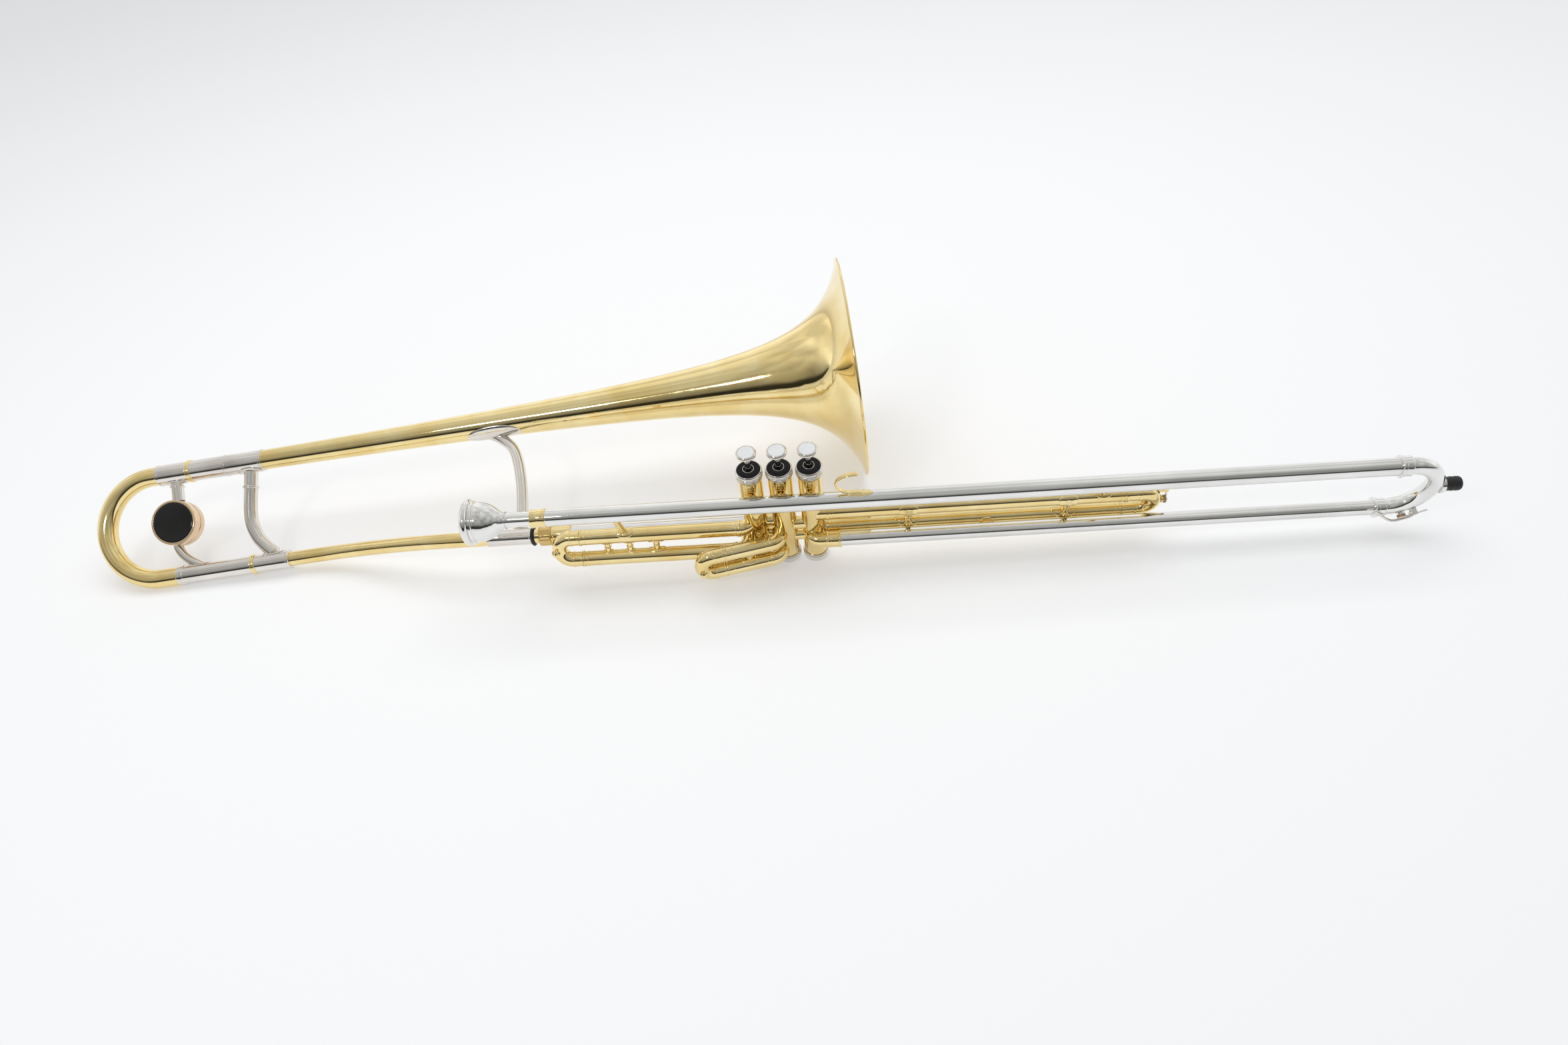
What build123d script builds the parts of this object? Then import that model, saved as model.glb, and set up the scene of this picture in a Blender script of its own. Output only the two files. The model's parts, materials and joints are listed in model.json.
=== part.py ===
"""Valve trombone: bell section, valve section, four pulling slides, mouthpiece.

Everything is laid out in the instrument's own frame (X along the long tubes, Z up the valves,
Y from the finger hook's side towards the bell) and set down on the floor by one rest placement
at the end.
"""
import os
from math import cos, sin, radians, sqrt, pi, atan2, degrees
from build123d import *

os.makedirs("parts", exist_ok=True)

# Rest placement of the whole instrument, from its own frame to the floor frame
rest_roll = 8.538         # degrees about X, valves lean to the front
rest_pitch = 1.038        # degrees about Y
rest_lift = 1.93          # mm
rest_x = 49.6             # mm, with rest_y centres the outline on the origin
rest_y = -92.35           # mm

# Shared fits
run_clear = 0.05          # radial clearance of every sliding or turning fit
part_gap = 0.3            # gap between two bodies that meet end to end

# Valves
valve_pitch = 24.5
casing_od = 20.3
piston_od = 16.9
casing_bore = piston_od + 2 * run_clear
casing_z0, casing_z1 = 3.0, 108.0
cap_od = 22.7
bottom_cap_h = 8.5
top_cap_z0, top_cap_z1 = 102.5, 113.3
felt_od = 18.9
felt_z0, felt_z1 = 112.0, 114.1
stem_d = 5.0
stem_bore = stem_d + 2 * run_clear
guide_od = 9.6
guide_top = 114.5
piston_z0, piston_z1 = 26.0, 98.0
valve_stroke = 14.5
button_d = 16.8
button_z0, button_z1 = 129.6, 133.6
inlay_d = 13.7
valve_spring_d = 12.0
valve_spring_wire = 0.9

# Long tubes of the valve section: diameter, Y and Z of each axis
mouthpipe_d = 14.6
mouthpipe_y, mouthpipe_z = -20.0, 91.5
lower_d = 12.8
lower_y, lower_z = -14.0, 34.6
lock_d = 13.4
lock_y, lock_z = 5.5, 38.7
tube_wall = 0.5
receiver_x0, receiver_x1 = -206.0, -193.0
crook_x = 496.4
crook_d = 13.8
crook_ferrule = 9.0

# Valve slides
slide_od = 13.1
leg_od = 12.2
slide_bore = leg_od + 2 * run_clear
ring_od = 14.1
s1_up = (-8.0, 48.8)
s1_low = (-15.2, 28.9)
s1_in, s1_out, s1_bow = -38.0, -175.8, -185.0
s2_up_z, s2_low_z = 39.7, 19.4
s2_yaw = 12.2
s2_start = (-12.0, -19.0)
s2_len = 41.4
s2_bow = 51.5
s3_up = (-4.0, 59.2)
s3_low = (1.0, 34.6)
s3_in, s3_out, s3_bow = 36.8, 284.0, 296.5

# Bell and tuning slide, measured along the bell axis from the rim
bell_origin = Vector(66.11, 151.47, 77.48)
bell_axis = Vector(1, 0.0824, 0.0442).normalized()
slide_dir = Vector(0.0925, -0.8176, -0.5683).normalized()
slide_dir = (slide_dir - bell_axis * slide_dir.dot(bell_axis)).normalized()
bell_normal = bell_axis.cross(slide_dir).normalized() * -1
leg_spread = 96.3
bell_rim_r = 102.0
bell_wall = 0.8
rim_bead = 2.7
bell_tail = 556.0
bell_tail_d = 18.4
flare_b, flare_s0, flare_a, flare_c = 1031.08, 22.0, 0.7415, -0.055
upper_leg_d = 17.0
upper_sleeve_d = 19.4
upper_split = 628.1
lower_leg_d = 15.0
lower_sleeve_d = 17.2
lower_split = 576.4
lower_sleeve_end = 540.3
rear_bow_s = 664.0
rear_bow_d = 17.5
neck_d = 13.4
neck_sleeve_x0, neck_sleeve_x1 = -261.0, -222.0

# Balance weight
weight_d = 42.6
weight_t = 18.0
weight_s = 643.9
weight_w = 47.0
badge_d = 37.6

# Mouthpiece
cup_rim_d = 39.0
cup_x = -261.0
shank_d = 12.6


def rod(a, b, d, bore=0.0):
    """A round bar, or a tube, between two points."""
    a, b = Vector(a), Vector(b)
    pl = Plane(origin=a, z_dir=(b - a))
    face = pl * Circle(d / 2)
    if bore:
        face -= pl * Circle(bore / 2)
    return extrude(face, amount=(b - a).length, dir=(b - a).normalized())


def pipe(path, d, bore=0.0):
    """A round bar, or a tube, along a smooth path."""
    pl = Plane(origin=path @ 0, z_dir=path % 0)
    face = pl * Circle(d / 2)
    if bore:
        face -= pl * Circle(bore / 2)
    return sweep(face, path=path)


def turned(points, origin, axis):
    """A turned piece from (radius, height) points about an axis through the origin."""
    corners = []
    for r, h in points:
        if not corners or abs(r - corners[-1][0]) + abs(h - corners[-1][2]) > 1e-6:
            corners.append((r, 0, h))
    outline = make_face(Polyline(*corners, close=True))
    body = revolve(outline, Axis.Z)
    return Plane(origin=origin, z_dir=axis).location * body


def saddle(on_axis, axis, toward, tube_d, length, width, t=0.8):
    """A thin oval flange hugging a tube, on the side that faces the given direction."""
    c, a = Vector(on_axis), Vector(axis).normalized()
    n = Vector(toward)
    n = (n - a * n.dot(a)).normalized()
    shell = rod(c - a * length, c + a * length, tube_d + 2 * t, tube_d)
    pl = Plane(origin=c, x_dir=a, z_dir=n)
    oval = extrude(pl * Ellipse(length / 2, width / 2), amount=tube_d / 2 + t + 1)
    return shell & oval


def cut(a, *others):
    for o in others:
        a = a - o
    return a


def solids(*shapes):
    """Every solid of the given shapes, as one list."""
    out = []
    for s in shapes:
        out += list(s.solids())
    return out


def u_wire(p_up, p_low, back, run):
    """A bow's centreline: straight run, half circle, straight run; back points out of the bow."""
    p_up, p_low, back = Vector(p_up), Vector(p_low), Vector(back).normalized()
    mid = (p_up + p_low) * 0.5
    r = (p_up - p_low).length / 2
    arc = ThreePointArc(p_up, mid + back * r, p_low)
    edges = [arc]
    if run > 0:
        edges = [Line(p_up - back * run, p_up), arc, Line(p_low, p_low - back * run)]
    return Wire(edges)


nodes = {}
wound = []


def keep(name, *shapes):
    nodes[name] = solids(*shapes)


X = Vector(1, 0, 0)
Y = Vector(0, 1, 0)
Z = Vector(0, 0, 1)


def on_bell(s, w=0.0, n=0.0):
    """A point at s behind the rim, w across to the lower leg, n out of the bell's plane."""
    return bell_origin - bell_axis * s + slide_dir * w + bell_normal * n


# Valve block
casing_x = [-valve_pitch, 0.0, valve_pitch]
casing_blank = [rod((x, 0, casing_z0), (x, 0, casing_z1), casing_od) for x in casing_x]
mouthpipe_bar = rod((-230, mouthpipe_y, mouthpipe_z), (crook_x, mouthpipe_y, mouthpipe_z), mouthpipe_d)
lower_bar = rod((20, lower_y, lower_z), (crook_x, lower_y, lower_z), lower_d)
bottom_caps, top_caps, felts = [], [], []
for i, x in enumerate(casing_x):
    n = i + 1
    casing = casing_blank[i] - rod((x, 0, casing_z0), (x, 0, casing_z1), casing_bore)
    keep(f"valve_casing_{n}", casing)
    rc, ro = casing_od / 2, cap_od / 2
    bottom_caps.append(turned([
        (0, 0), (ro - 1.6, 0), (ro - 0.4, 0.9), (ro, 2.2), (ro, bottom_cap_h - 0.5), (ro - 0.5, bottom_cap_h),
        (rc, bottom_cap_h), (rc, casing_z0), (piston_od / 2 - 1, casing_z0), (piston_od / 2 - 1, 2.2), (0, 2.2),
    ], (x, 0, 0), Z))
    rf = felt_od / 2
    top_caps.append(turned([
        (stem_bore / 2, casing_z1), (rc, casing_z1), (rc, top_cap_z0), (ro - 0.5, top_cap_z0),
        (ro, top_cap_z0 + 0.5), (ro, top_cap_z1 - 1.2), (ro - 1.1, top_cap_z1), (rf, top_cap_z1),
        (rf, felt_z0), (guide_od / 2, felt_z0), (guide_od / 2, guide_top - 0.3), (guide_od / 2 - 0.3, guide_top),
        (stem_bore / 2 + 1.2, guide_top), (stem_bore / 2, guide_top - 1.2),
    ], (x, 0, 0), Z))
    felts.append(turned([
        (guide_od / 2, felt_z0), (rf, felt_z0), (rf, felt_z1 - 0.5), (rf - 0.5, felt_z1), (guide_od / 2, felt_z1),
    ], (x, 0, 0), Z))
    # piston, hollow, with two cross passages and its stem
    rp = piston_od / 2
    piston = turned([
        (0, piston_z0), (rp, piston_z0), (rp, piston_z1), (stem_d / 2 + 2, piston_z1), (stem_d / 2, piston_z1 + 1),
        (stem_d / 2, button_z0 + 1.2), (0, button_z0 + 1.2), (0, piston_z1 - 4), (rp - 1.4, piston_z1 - 4),
        (rp - 1.4, piston_z0 + 2), (0, piston_z0 + 2),
    ], (x, 0, 0), Z)
    for zc, ang in ((42.0, 35.0), (62.0, -40.0)):
        way = Vector(cos(radians(ang)), sin(radians(ang)), 0)
        c = Vector(x, 0, zc)
        way_tube = rod(c - way * 12, c + way * 12, 12.4, 11.4) & rod((x, 0, 20), (x, 0, 100), piston_od)
        piston = piston - rod(c - way * 12, c + way * 12, 12.4) + way_tube
    keep(f"piston_{n}", piston)
    rb, ri, z1 = button_d / 2, inlay_d / 2, button_z1
    button = turned([
        (0, button_z0 + 1.2), (stem_d / 2, button_z0 + 1.2), (stem_d / 2, button_z0), (stem_d / 2 + 1.4, button_z0),
        (rb - 0.9, button_z0 + 0.5), (rb, button_z0 + 1.3), (rb, z1 - 0.7), (rb - 0.6, z1), (ri, z1),
        (ri, z1 - 1.4), (0, z1 - 1.4),
    ], (x, 0, 0), Z)
    keep(f"valve_button_{n}", button)
    keep(f"button_inlay_{n}", turned([
        (0, z1 - 1.4), (ri, z1 - 1.4), (ri, z1), (ri - 0.2, z1 + 0.2), (0, z1 + 0.2)], (x, 0, 0), Z))
    w = valve_spring_wire
    h = piston_z0 - 2.2 - w
    coil = Location((x, 0, 2.2 + w / 2)) * Helix(pitch=h / 6, height=h, radius=valve_spring_d / 2)
    wound.append((f"valve spring {n}", coil, w))
    keep(f"valve_spring_{n}", sweep(Plane(origin=coil @ 0, z_dir=coil % 0) * Circle(w / 2), path=coil))
keep("bottom_caps", *bottom_caps)
keep("top_caps", *top_caps)
keep("cap_felts", *felts)

# Knuckles between the casings and the elbow from valve 3 to the lower tube
knuckles = []
for a, b, yk, zk, d in ((0, 1, 1, 47.0, 11), (0, 1, 1, 31.0, 10), (1, 2, -2, 45.0, 11), (1, 2, -2, 29.5, 10)):
    bar = rod((casing_x[a] + 2, yk, zk), (casing_x[b] - 2, yk, zk), d, d - 1.6)
    knuckles.append(cut(bar, casing_blank[a], casing_blank[b]))
xe = valve_pitch - 2.5
elbow_path = Wire([
    Line((xe, -3.5, lower_z), (xe, -6.5, lower_z)),
    ThreePointArc((xe, -6.5, lower_z), (xe + 7.5 * (1 - cos(pi / 4)), -6.5 - 7.5 * sin(pi / 4), lower_z),
                  (xe + 7.5, lower_y, lower_z)),
    Line((xe + 7.5, lower_y, lower_z), (35.0, lower_y, lower_z)),
])
elbow = cut(pipe(elbow_path, 13.2, 11.8), casing_blank[2])
elbow_ferrule = turned([
    (lower_d / 2, 0), (7.3, 0), (7.6, 0.5), (7.6, 1.5), (7.2, 2.0), (7.2, 11.0), (7.7, 11.5), (7.7, 12.6),
    (7.2, 13.0), (lower_d / 2, 13.0)], (34.0, lower_y, lower_z), X)
elbow = elbow + (elbow_ferrule - rod((30, lower_y, lower_z), (35, lower_y, lower_z), 13.2))
elbow = elbow - rod((35, lower_y, lower_z), (60, lower_y, lower_z), lower_d)
keep("valve_knuckles", elbow, *knuckles)

# Long silver tubes and the far crook
keep("mouthpipe", rod((receiver_x1 - 8, mouthpipe_y, mouthpipe_z),
                      (crook_x - 3, mouthpipe_y, mouthpipe_z), mouthpipe_d, mouthpipe_d - 2 * tube_wall))
keep("lower_tube", rod((35.0, lower_y, lower_z), (crook_x - 3, lower_y, lower_z),
                       lower_d, lower_d - 2 * tube_wall))
cu = Vector(crook_x, mouthpipe_y, mouthpipe_z)
cl = Vector(crook_x, lower_y, lower_z)
crook = pipe(u_wire(cu, cl, X, 3.0), crook_d, crook_d - 2.0)
for p, d in ((cu, mouthpipe_d), (cl, lower_d)):
    o = p - X * crook_ferrule
    r = max(d, crook_d) / 2
    crook += turned([
        (d / 2, 0), (r + 1.3, 0), (r + 1.3, 0.6), (r + 0.8, 1.0), (r + 0.8, crook_ferrule - 0.4),
        (r + 0.5, crook_ferrule + 0.3), (crook_d / 2 - 0.9, crook_ferrule + 0.3),
        (crook_d / 2 - 0.9, crook_ferrule - 3.0), (d / 2, crook_ferrule - 3.0)], o, X)
crook_mid = (cu + cl) * 0.5
crook_r = (cu - cl).length / 2
crook_way = (cu - cl).normalized()

# Water key: its own frame is (tube centre, outward, along the lever)
key_nipple_h = 1.6
key_pad_t = 1.7
key_arm = 9.5
key_screw_d = 1.6
key_spring_wire = 0.5
key_bore = key_screw_d + 2 * run_clear


def water_key(c, out, along, tube_r, lug_root=1.2):
    c, out = Vector(c), Vector(out).normalized()
    along = Vector(along)
    along = (along - out * along.dot(out)).normalized()
    side = out.cross(along)
    top = tube_r + key_nipple_h

    def at(a, o, s=0.0):
        return c + along * a + out * o + side * s

    def block(a0, a1, o0, o1, wid):
        pl = Plane(origin=at((a0 + a1) / 2, o0), x_dir=along, z_dir=out)
        return extrude(pl * Rectangle(a1 - a0, wid), amount=o1 - o0)

    nipple = rod(at(0, tube_r - 0.4), at(0, top), 6.2, 4.0)
    lugs = None
    for s in (-3.0, 3.0):
        pl = Plane(origin=at(key_arm, tube_r - lug_root, s), x_dir=along, z_dir=out)
        lug = extrude(pl * Rectangle(4.0, 1.4), amount=top + 3.4 - tube_r + lug_root)
        lugs = lug if lugs is None else lugs + lug
    pivot = top + 1.9
    screw = rod(at(key_arm, pivot, -8.2), at(key_arm, pivot, 4.4), key_screw_d)
    head = rod(at(key_arm, pivot, 3.7), at(key_arm, pivot, 4.6), 3.4)
    pad = rod(at(0, top), at(0, top + key_pad_t), 6.6)
    cup = rod(at(0, top + key_pad_t), at(0, top + key_pad_t + 1.2), 7.4)
    arm = block(0, key_arm + 3.0, top + key_pad_t, top + key_pad_t + 1.2, 3.2)
    barrel = rod(at(key_arm, pivot, -2.0), at(key_arm, pivot, 2.0), 3.6)
    tail = block(key_arm + 2.7, key_arm + 9.5, top + key_pad_t, top + key_pad_t + 1.2, 4.6)
    lever = cup + arm + barrel + tail - rod(at(key_arm, pivot, -3), at(key_arm, pivot, 3), key_bore)
    coil_at = Plane(origin=at(key_arm, pivot, -8.3), z_dir=side).location
    helix = coil_at * Helix(pitch=1.0, height=4.2, radius=1.7)
    spring = sweep(Plane(origin=helix @ 0, z_dir=helix % 0) * Circle(key_spring_wire / 2), path=helix)
    wound.append(("water key spring", helix, key_spring_wire))
    return nipple, lugs, screw + head, pad, lever, spring, at(key_arm, pivot), side


k1_angle = radians(22)
k1_c = crook_mid + X * (crook_r * sin(k1_angle)) - crook_way * (crook_r * cos(k1_angle))
k1 = water_key(k1_c, (0.25, -0.80, -0.55), (0.95, 0.0, 0.3), crook_d / 2)
crook_bore = pipe(u_wire(cu, cl, X, 3.0), crook_d)
crook = crook + (k1[0] - crook_bore) + (k1[1] - crook_bore)
keep("crook_key_pad", k1[3])
keep("crook_key_lever", k1[4])
keep("crook_key_spring", k1[5])

# Bumper on the crook
bump_c = crook_mid + X * crook_r
bump_a = bump_c + X * (crook_d / 2 + 0.8)
bumper_seat = rod(bump_c + X * 4.5, bump_a, 14.6) - crook_bore
keep("crook", crook + k1[2] + bumper_seat)
keep("bumper", turned([(0, 0), (5.6, 0), (5.8, 1.0), (5.9, 12.2), (5.4, 13.4), (4.4, 13.9), (0, 13.9)], bump_a, X))

# Mouthpipe mounts on the casings
mounts = []
for i, x in enumerate(casing_x):
    post = rod((x, -8.0, mouthpipe_z), (x, mouthpipe_y, mouthpipe_z), 5.0)
    foot = saddle((x, 0, mouthpipe_z), Z, (0, -1, 0), casing_od, 11.0, 8.0)
    hold = saddle((x, mouthpipe_y, mouthpipe_z), X, (0, 1, 0), mouthpipe_d, 12.0, 8.5)
    mounts.append(cut(post, casing_blank[i], mouthpipe_bar) + foot + hold)
keep("mouthpipe_mounts", *mounts)

# Finger hook on the mouthpipe
top = mouthpipe_z + mouthpipe_d / 2
hook_line = Spline((66.0, mouthpipe_y, top + 0.9), (56.0, mouthpipe_y, top + 1.3), (48.0, mouthpipe_y, top + 6.0),
                   (45.4, mouthpipe_y, top + 12.5), (48.6, mouthpipe_y, top + 18.8), (55.5, mouthpipe_y, top + 22.4),
                   (64.0, mouthpipe_y, top + 23.4), tangents=[(-1, 0, 0.0), (1, 0, 0.05)])
hook_plane = Plane(origin=hook_line @ 0, x_dir=Y, z_dir=hook_line % 0)
hook = sweep(hook_plane * RectangleRounded(5.2, 1.8, 0.7), path=hook_line)
hook_foot = extrude(Plane(origin=(63.5, mouthpipe_y, mouthpipe_z + 3.5), z_dir=Z) * SlotOverall(21.0, 6.4),
                    amount=mouthpipe_d / 2 - 3.5 + 1.8)
keep("finger_hook", (hook + hook_foot) - mouthpipe_bar)

# Receiver and mouthpiece
rm = mouthpipe_d / 2
rq = shank_d / 2 + run_clear
keep("mouthpiece_receiver", turned([
    (rq, 0), (rm + 0.4, 0), (rm + 0.6, 0.8), (rm + 0.3, 2.2), (rm + 0.1, 6.0), (rm + 0.3, 10.8),
    (rm + 0.6, 12.0), (rm + 0.4, 13.0), (rm, 13.0), (rm, 5.0), (rq, 5.0)],
    (receiver_x0, mouthpipe_y, mouthpipe_z), X))
rs, rc = shank_d / 2, cup_rim_d / 2
keep("mouthpiece", turned([
    (12.6, 1.6), (13.8, 0.5), (15.6, 0.0), (17.6, 0.5), (rc - 0.4, 2.0), (rc, 4.0), (rc - 0.5, 5.6), (rc - 2.6, 7.2),
    (rc - 4.0, 9.0), (rc - 4.4, 12.0), (rc - 5.2, 16.0), (rc - 7.4, 20.5), (rc - 9.8, 23.8), (rs + 1.9, 26.5),
    (rs + 1.0, 29.0), (rs, 32.5), (rs, 60.0), (rs - 0.9, 78.0), (rs - 1.7, 78.0), (4.6, 60.0), (3.2, 30.0),
    (3.4, 27.0), (6.0, 22.5), (9.6, 16.0), (11.6, 8.0)], (cup_x, mouthpipe_y, mouthpipe_z), X))

# Slide lock between the neck and the valve section
lock_bar = rod((-300, lock_y, lock_z), (-26, lock_y, lock_z), lock_d)
lock_tube = rod((-203.0, lock_y, lock_z), (-28, lock_y, lock_z), lock_d, lock_d - 1.2)
keep("lock_tube", cut(lock_tube, casing_blank[0]))
rl = lock_d / 2
nut_x0, nut_x1 = -215.0, -204.0
thread_r = 8.0
keep("lock_ferrule", turned([
    (rl, -211.6), (thread_r, -211.6), (thread_r, nut_x1 + part_gap), (rl + 1.3, nut_x1 + part_gap), (rl + 1.3, -201.8),
    (rl + 0.9, -201.4), (rl + 0.9, -189.0), (rl + 1.2, -188.4), (rl + 1.2, -187.3), (rl + 0.8, -186.8),
    (rl, -186.8)], (0, lock_y, lock_z), X))
nut_blank = extrude(Plane(origin=(nut_x0, lock_y, lock_z), z_dir=X) * RegularPolygon(10.0, 10), amount=nut_x1 - nut_x0)
nut_round = turned([(0, nut_x0), (8.6, nut_x0), (9.2, nut_x0 + 1.2), (9.4, nut_x0 + 5), (9.2, nut_x1 - 1.2),
                    (8.8, nut_x1), (0, nut_x1)], (0, lock_y, lock_z), X)
nut = (nut_blank & nut_round) - rod((nut_x0, lock_y, lock_z), (nut_x1, lock_y, lock_z), neck_d + 2 * run_clear)
nut -= rod((-212.0, lock_y, lock_z), (nut_x1, lock_y, lock_z), 2 * thread_r + 2 * run_clear)
keep("lock_nut", nut)
keep("lock_washer", turned([(neck_d / 2, -221.6), (8.4, -221.6), (8.9, -221.0), (8.9, -219.9), (8.4, -219.3),
                            (neck_d / 2, -219.3)], (0, lock_y, lock_z), X))

# Neck pipe, from the tuning slide's lower sleeve to the lock
neck_start = on_bell(lower_sleeve_end + 7.0, leg_spread)
neck_bend0 = on_bell(lower_sleeve_end - 8.0, leg_spread)
neck_bend1 = Vector(neck_sleeve_x0 - 6.0, lock_y, lock_z)
neck_curve = Spline(neck_bend0, neck_bend1, tangents=[bell_axis, X])
neck_path = Wire([Line(neck_start, neck_bend0), neck_curve, Line(neck_bend1, (-206.5, lock_y, lock_z))])
keep("neck_pipe", pipe(neck_path, neck_d, neck_d - 2 * 0.6))
keep("neck_sleeve", turned([
    (rl, neck_sleeve_x0), (rl + 0.8, neck_sleeve_x0), (rl + 1.0, neck_sleeve_x0 + 0.6),
    (rl + 0.6, neck_sleeve_x0 + 1.4), (rl + 0.6, neck_sleeve_x1 - 1.4), (rl + 1.0, neck_sleeve_x1 - 0.6),
    (rl + 0.8, neck_sleeve_x1), (rl, neck_sleeve_x1)], (0, lock_y, lock_z), X))


# Bell: a thin spun flare with a rolled rim
def flare(s):
    return flare_c + flare_b / (flare_s0 + s) ** flare_a


outer = []
for s in (556.0, 520.0, 480.0, 430.0, 380.0, 330.0, 280.0, 230.0, 190.0, 155.0, 125.0, 100.0, 80.0, 64.0, 50.0, 38.0,
          28.0, 19.0, 12.0, 6.0, 2.0):
    outer.append((flare(s), -s))
tail_r = bell_tail_d / 2
outer[0] = (tail_r, -bell_tail)
outer_line = Spline(*[(r, 0, h) for r, h in outer])
inner_pts = []
for k in range(len(outer)):
    a = outer[max(k - 1, 0)]
    b = outer[min(k + 1, len(outer) - 1)]
    dx, dz = b[0] - a[0], b[1] - a[1]
    m = sqrt(dx * dx + dz * dz)
    inner_pts.append((outer[k][0] - bell_wall * dz / m, outer[k][1] + bell_wall * dx / m))
inner_line = Spline(*[(r, 0, h) for r, h in inner_pts])
rim_r, rim_h = outer[-1]
rim_mid = Vector((rim_r + inner_pts[-1][0]) / 2, 0, (rim_h + inner_pts[-1][1]) / 2)
rim_way = Vector(rim_r - outer[-2][0], 0, rim_h - outer[-2][1]).normalized()
bead = ThreePointArc(outer_line @ 1, rim_mid + rim_way * rim_bead, inner_line @ 1)
tail_end = -bell_tail - 6
tail_in = inner_pts[0][0]
shell_face = make_face([
    outer_line, bead, inner_line, Line(inner_line @ 0, (tail_in, 0, tail_end)),
    Line((tail_in, 0, tail_end), (tail_r, 0, tail_end)), Line((tail_r, 0, tail_end), outer_line @ 0)])
bell = Plane(origin=bell_origin, z_dir=bell_axis).location * revolve(shell_face, Axis.Z)
keep("bell", bell)
bell_blank = Plane(origin=bell_origin, z_dir=bell_axis).location * revolve(
    make_face([outer_line, Line(outer_line @ 1, (0, 0, outer[-1][1])),
               Line((0, 0, outer[-1][1]), (0, 0, -bell_tail)), Line((0, 0, -bell_tail), outer_line @ 0)]), Axis.Z)

# Sleeves of the bell section
ru, rul = upper_sleeve_d / 2, upper_leg_d / 2 + run_clear
us, ls = upper_split, lower_split
sleeve_up = turned([
    (rul, us - 3.8), (ru, us - 3.8), (ru, 592.3), (ru + 0.35, 591.9), (ru + 0.35, 590.7), (ru, 590.3),
    (ru, bell_tail + 1.6), (ru + 0.3, bell_tail + 1.2), (ru + 0.3, bell_tail + 0.2), (ru - 0.2, bell_tail),
    (tail_r, bell_tail), (tail_r, bell_tail + 6), (rul, bell_tail + 6)], bell_origin, bell_axis * -1)
rw, rwl = lower_sleeve_d / 2, lower_leg_d / 2 + run_clear
low_o = on_bell(0, leg_spread)
e = lower_sleeve_end
sleeve_low = turned([
    (rwl, ls - 3.8), (rw, ls - 3.8), (rw, e + 2.4), (rw + 0.3, e + 2.0), (rw + 0.3, e + 1.0), (rw - 1.0, e),
    (neck_d / 2, e), (neck_d / 2, e + 7), (rwl, e + 7)], low_o, bell_axis * -1)
keep("bell_sleeves", sleeve_up, sleeve_low)
ring_up = turned([(rul, us), (ru + 0.6, us), (ru + 0.9, us - 0.6), (ru + 0.9, us - 2.2), (ru + 0.3, us - 3.0),
                  (ru + 0.3, us - 3.8), (rul, us - 3.8)], bell_origin, bell_axis * -1)
ring_low = turned([(rwl, ls), (rw + 0.6, ls), (rw + 0.9, ls - 0.6), (rw + 0.9, ls - 2.2), (rw + 0.3, ls - 3.0),
                   (rw + 0.3, ls - 3.8), (rwl, ls - 3.8)], low_o, bell_axis * -1)
keep("sleeve_rings", ring_up, ring_low)

# Tuning slide: rear bow and its two legs
rb = rear_bow_d / 2
bow_up0 = on_bell(rear_bow_s)
bow_low0 = on_bell(rear_bow_s, leg_spread)
back = bell_axis * -1
bow_arc = ThreePointArc(bow_up0, (bow_up0 + bow_low0) * 0.5 + back * leg_spread / 2, bow_low0)
bow_up_end, bow_low_end = 653.0, 642.0
tuning_path = Wire([Line(on_bell(bow_up_end), bow_up0), bow_arc, Line(bow_low0, on_bell(bow_low_end, leg_spread))])
keep("tuning_bow", pipe(tuning_path, rear_bow_d, rear_bow_d - 1.4))
rli = upper_leg_d / 2
leg_up = turned([
    (rli - 0.8, 563.0), (rli, 563.0), (rli, us + part_gap), (ru - 0.3, us + part_gap), (ru, us + 0.8),
    (ru, 655.2), (ru + 0.25, 655.6), (ru + 0.25, 656.8), (ru - 0.2, 657.4), (rb, 657.4), (rb, bow_up_end),
    (rli - 0.8, bow_up_end)], bell_origin, back)
rlj = lower_leg_d / 2
leg_low = turned([
    (rlj - 0.8, e + 7.6), (rlj, e + 7.6), (rlj, ls + part_gap), (rw - 0.3, ls + part_gap), (rw, ls + 0.8),
    (rw, 641.0), (rb + 0.55, 641.4), (rb + 0.55, 646.2), (rb + 0.2, 646.8), (rb, 646.8), (rb, bow_low_end),
    (rlj - 0.8, bow_low_end)], low_o, back)

# Balance weight with its badge disc, post and curved brace
wc = on_bell(weight_s, weight_w)
hw = weight_t / 2
rd = weight_d / 2
weight = turned([
    (0, -hw), (rd - 3.2, -hw), (rd - 0.9, -hw + 0.9), (rd, -hw + 3.0), (rd, -0.5), (rd - 0.5, 0.0), (rd, 0.5),
    (rd, hw - 2.4), (rd - 0.7, hw - 0.7), (rd - 1.8, hw), (badge_d / 2, hw), (badge_d / 2, hw - 1.2), (0, hw - 1.2)],
    wc, bell_normal)
keep("weight_badge", turned([(0, hw - 1.2), (badge_d / 2, hw - 1.2), (badge_d / 2, hw - 0.3),
                             (badge_d / 2 - 0.4, hw - 0.1), (0, hw + 0.1)], wc, bell_normal))
leg_up_bar = rod(on_bell(600), on_bell(657.4), upper_sleeve_d)
leg_low_bar = rod(on_bell(600, leg_spread), on_bell(641, leg_spread), lower_sleeve_d)
weight_bar = rod(wc - bell_normal * 30, wc + bell_normal * 30, weight_d)
post = rod(on_bell(641.5, 0), on_bell(641.5, weight_w), 11.0) + rod(on_bell(641.5, 0), on_bell(641.5, 12.6), 14.0)
post = cut(post, leg_up_bar, weight_bar)
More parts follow.
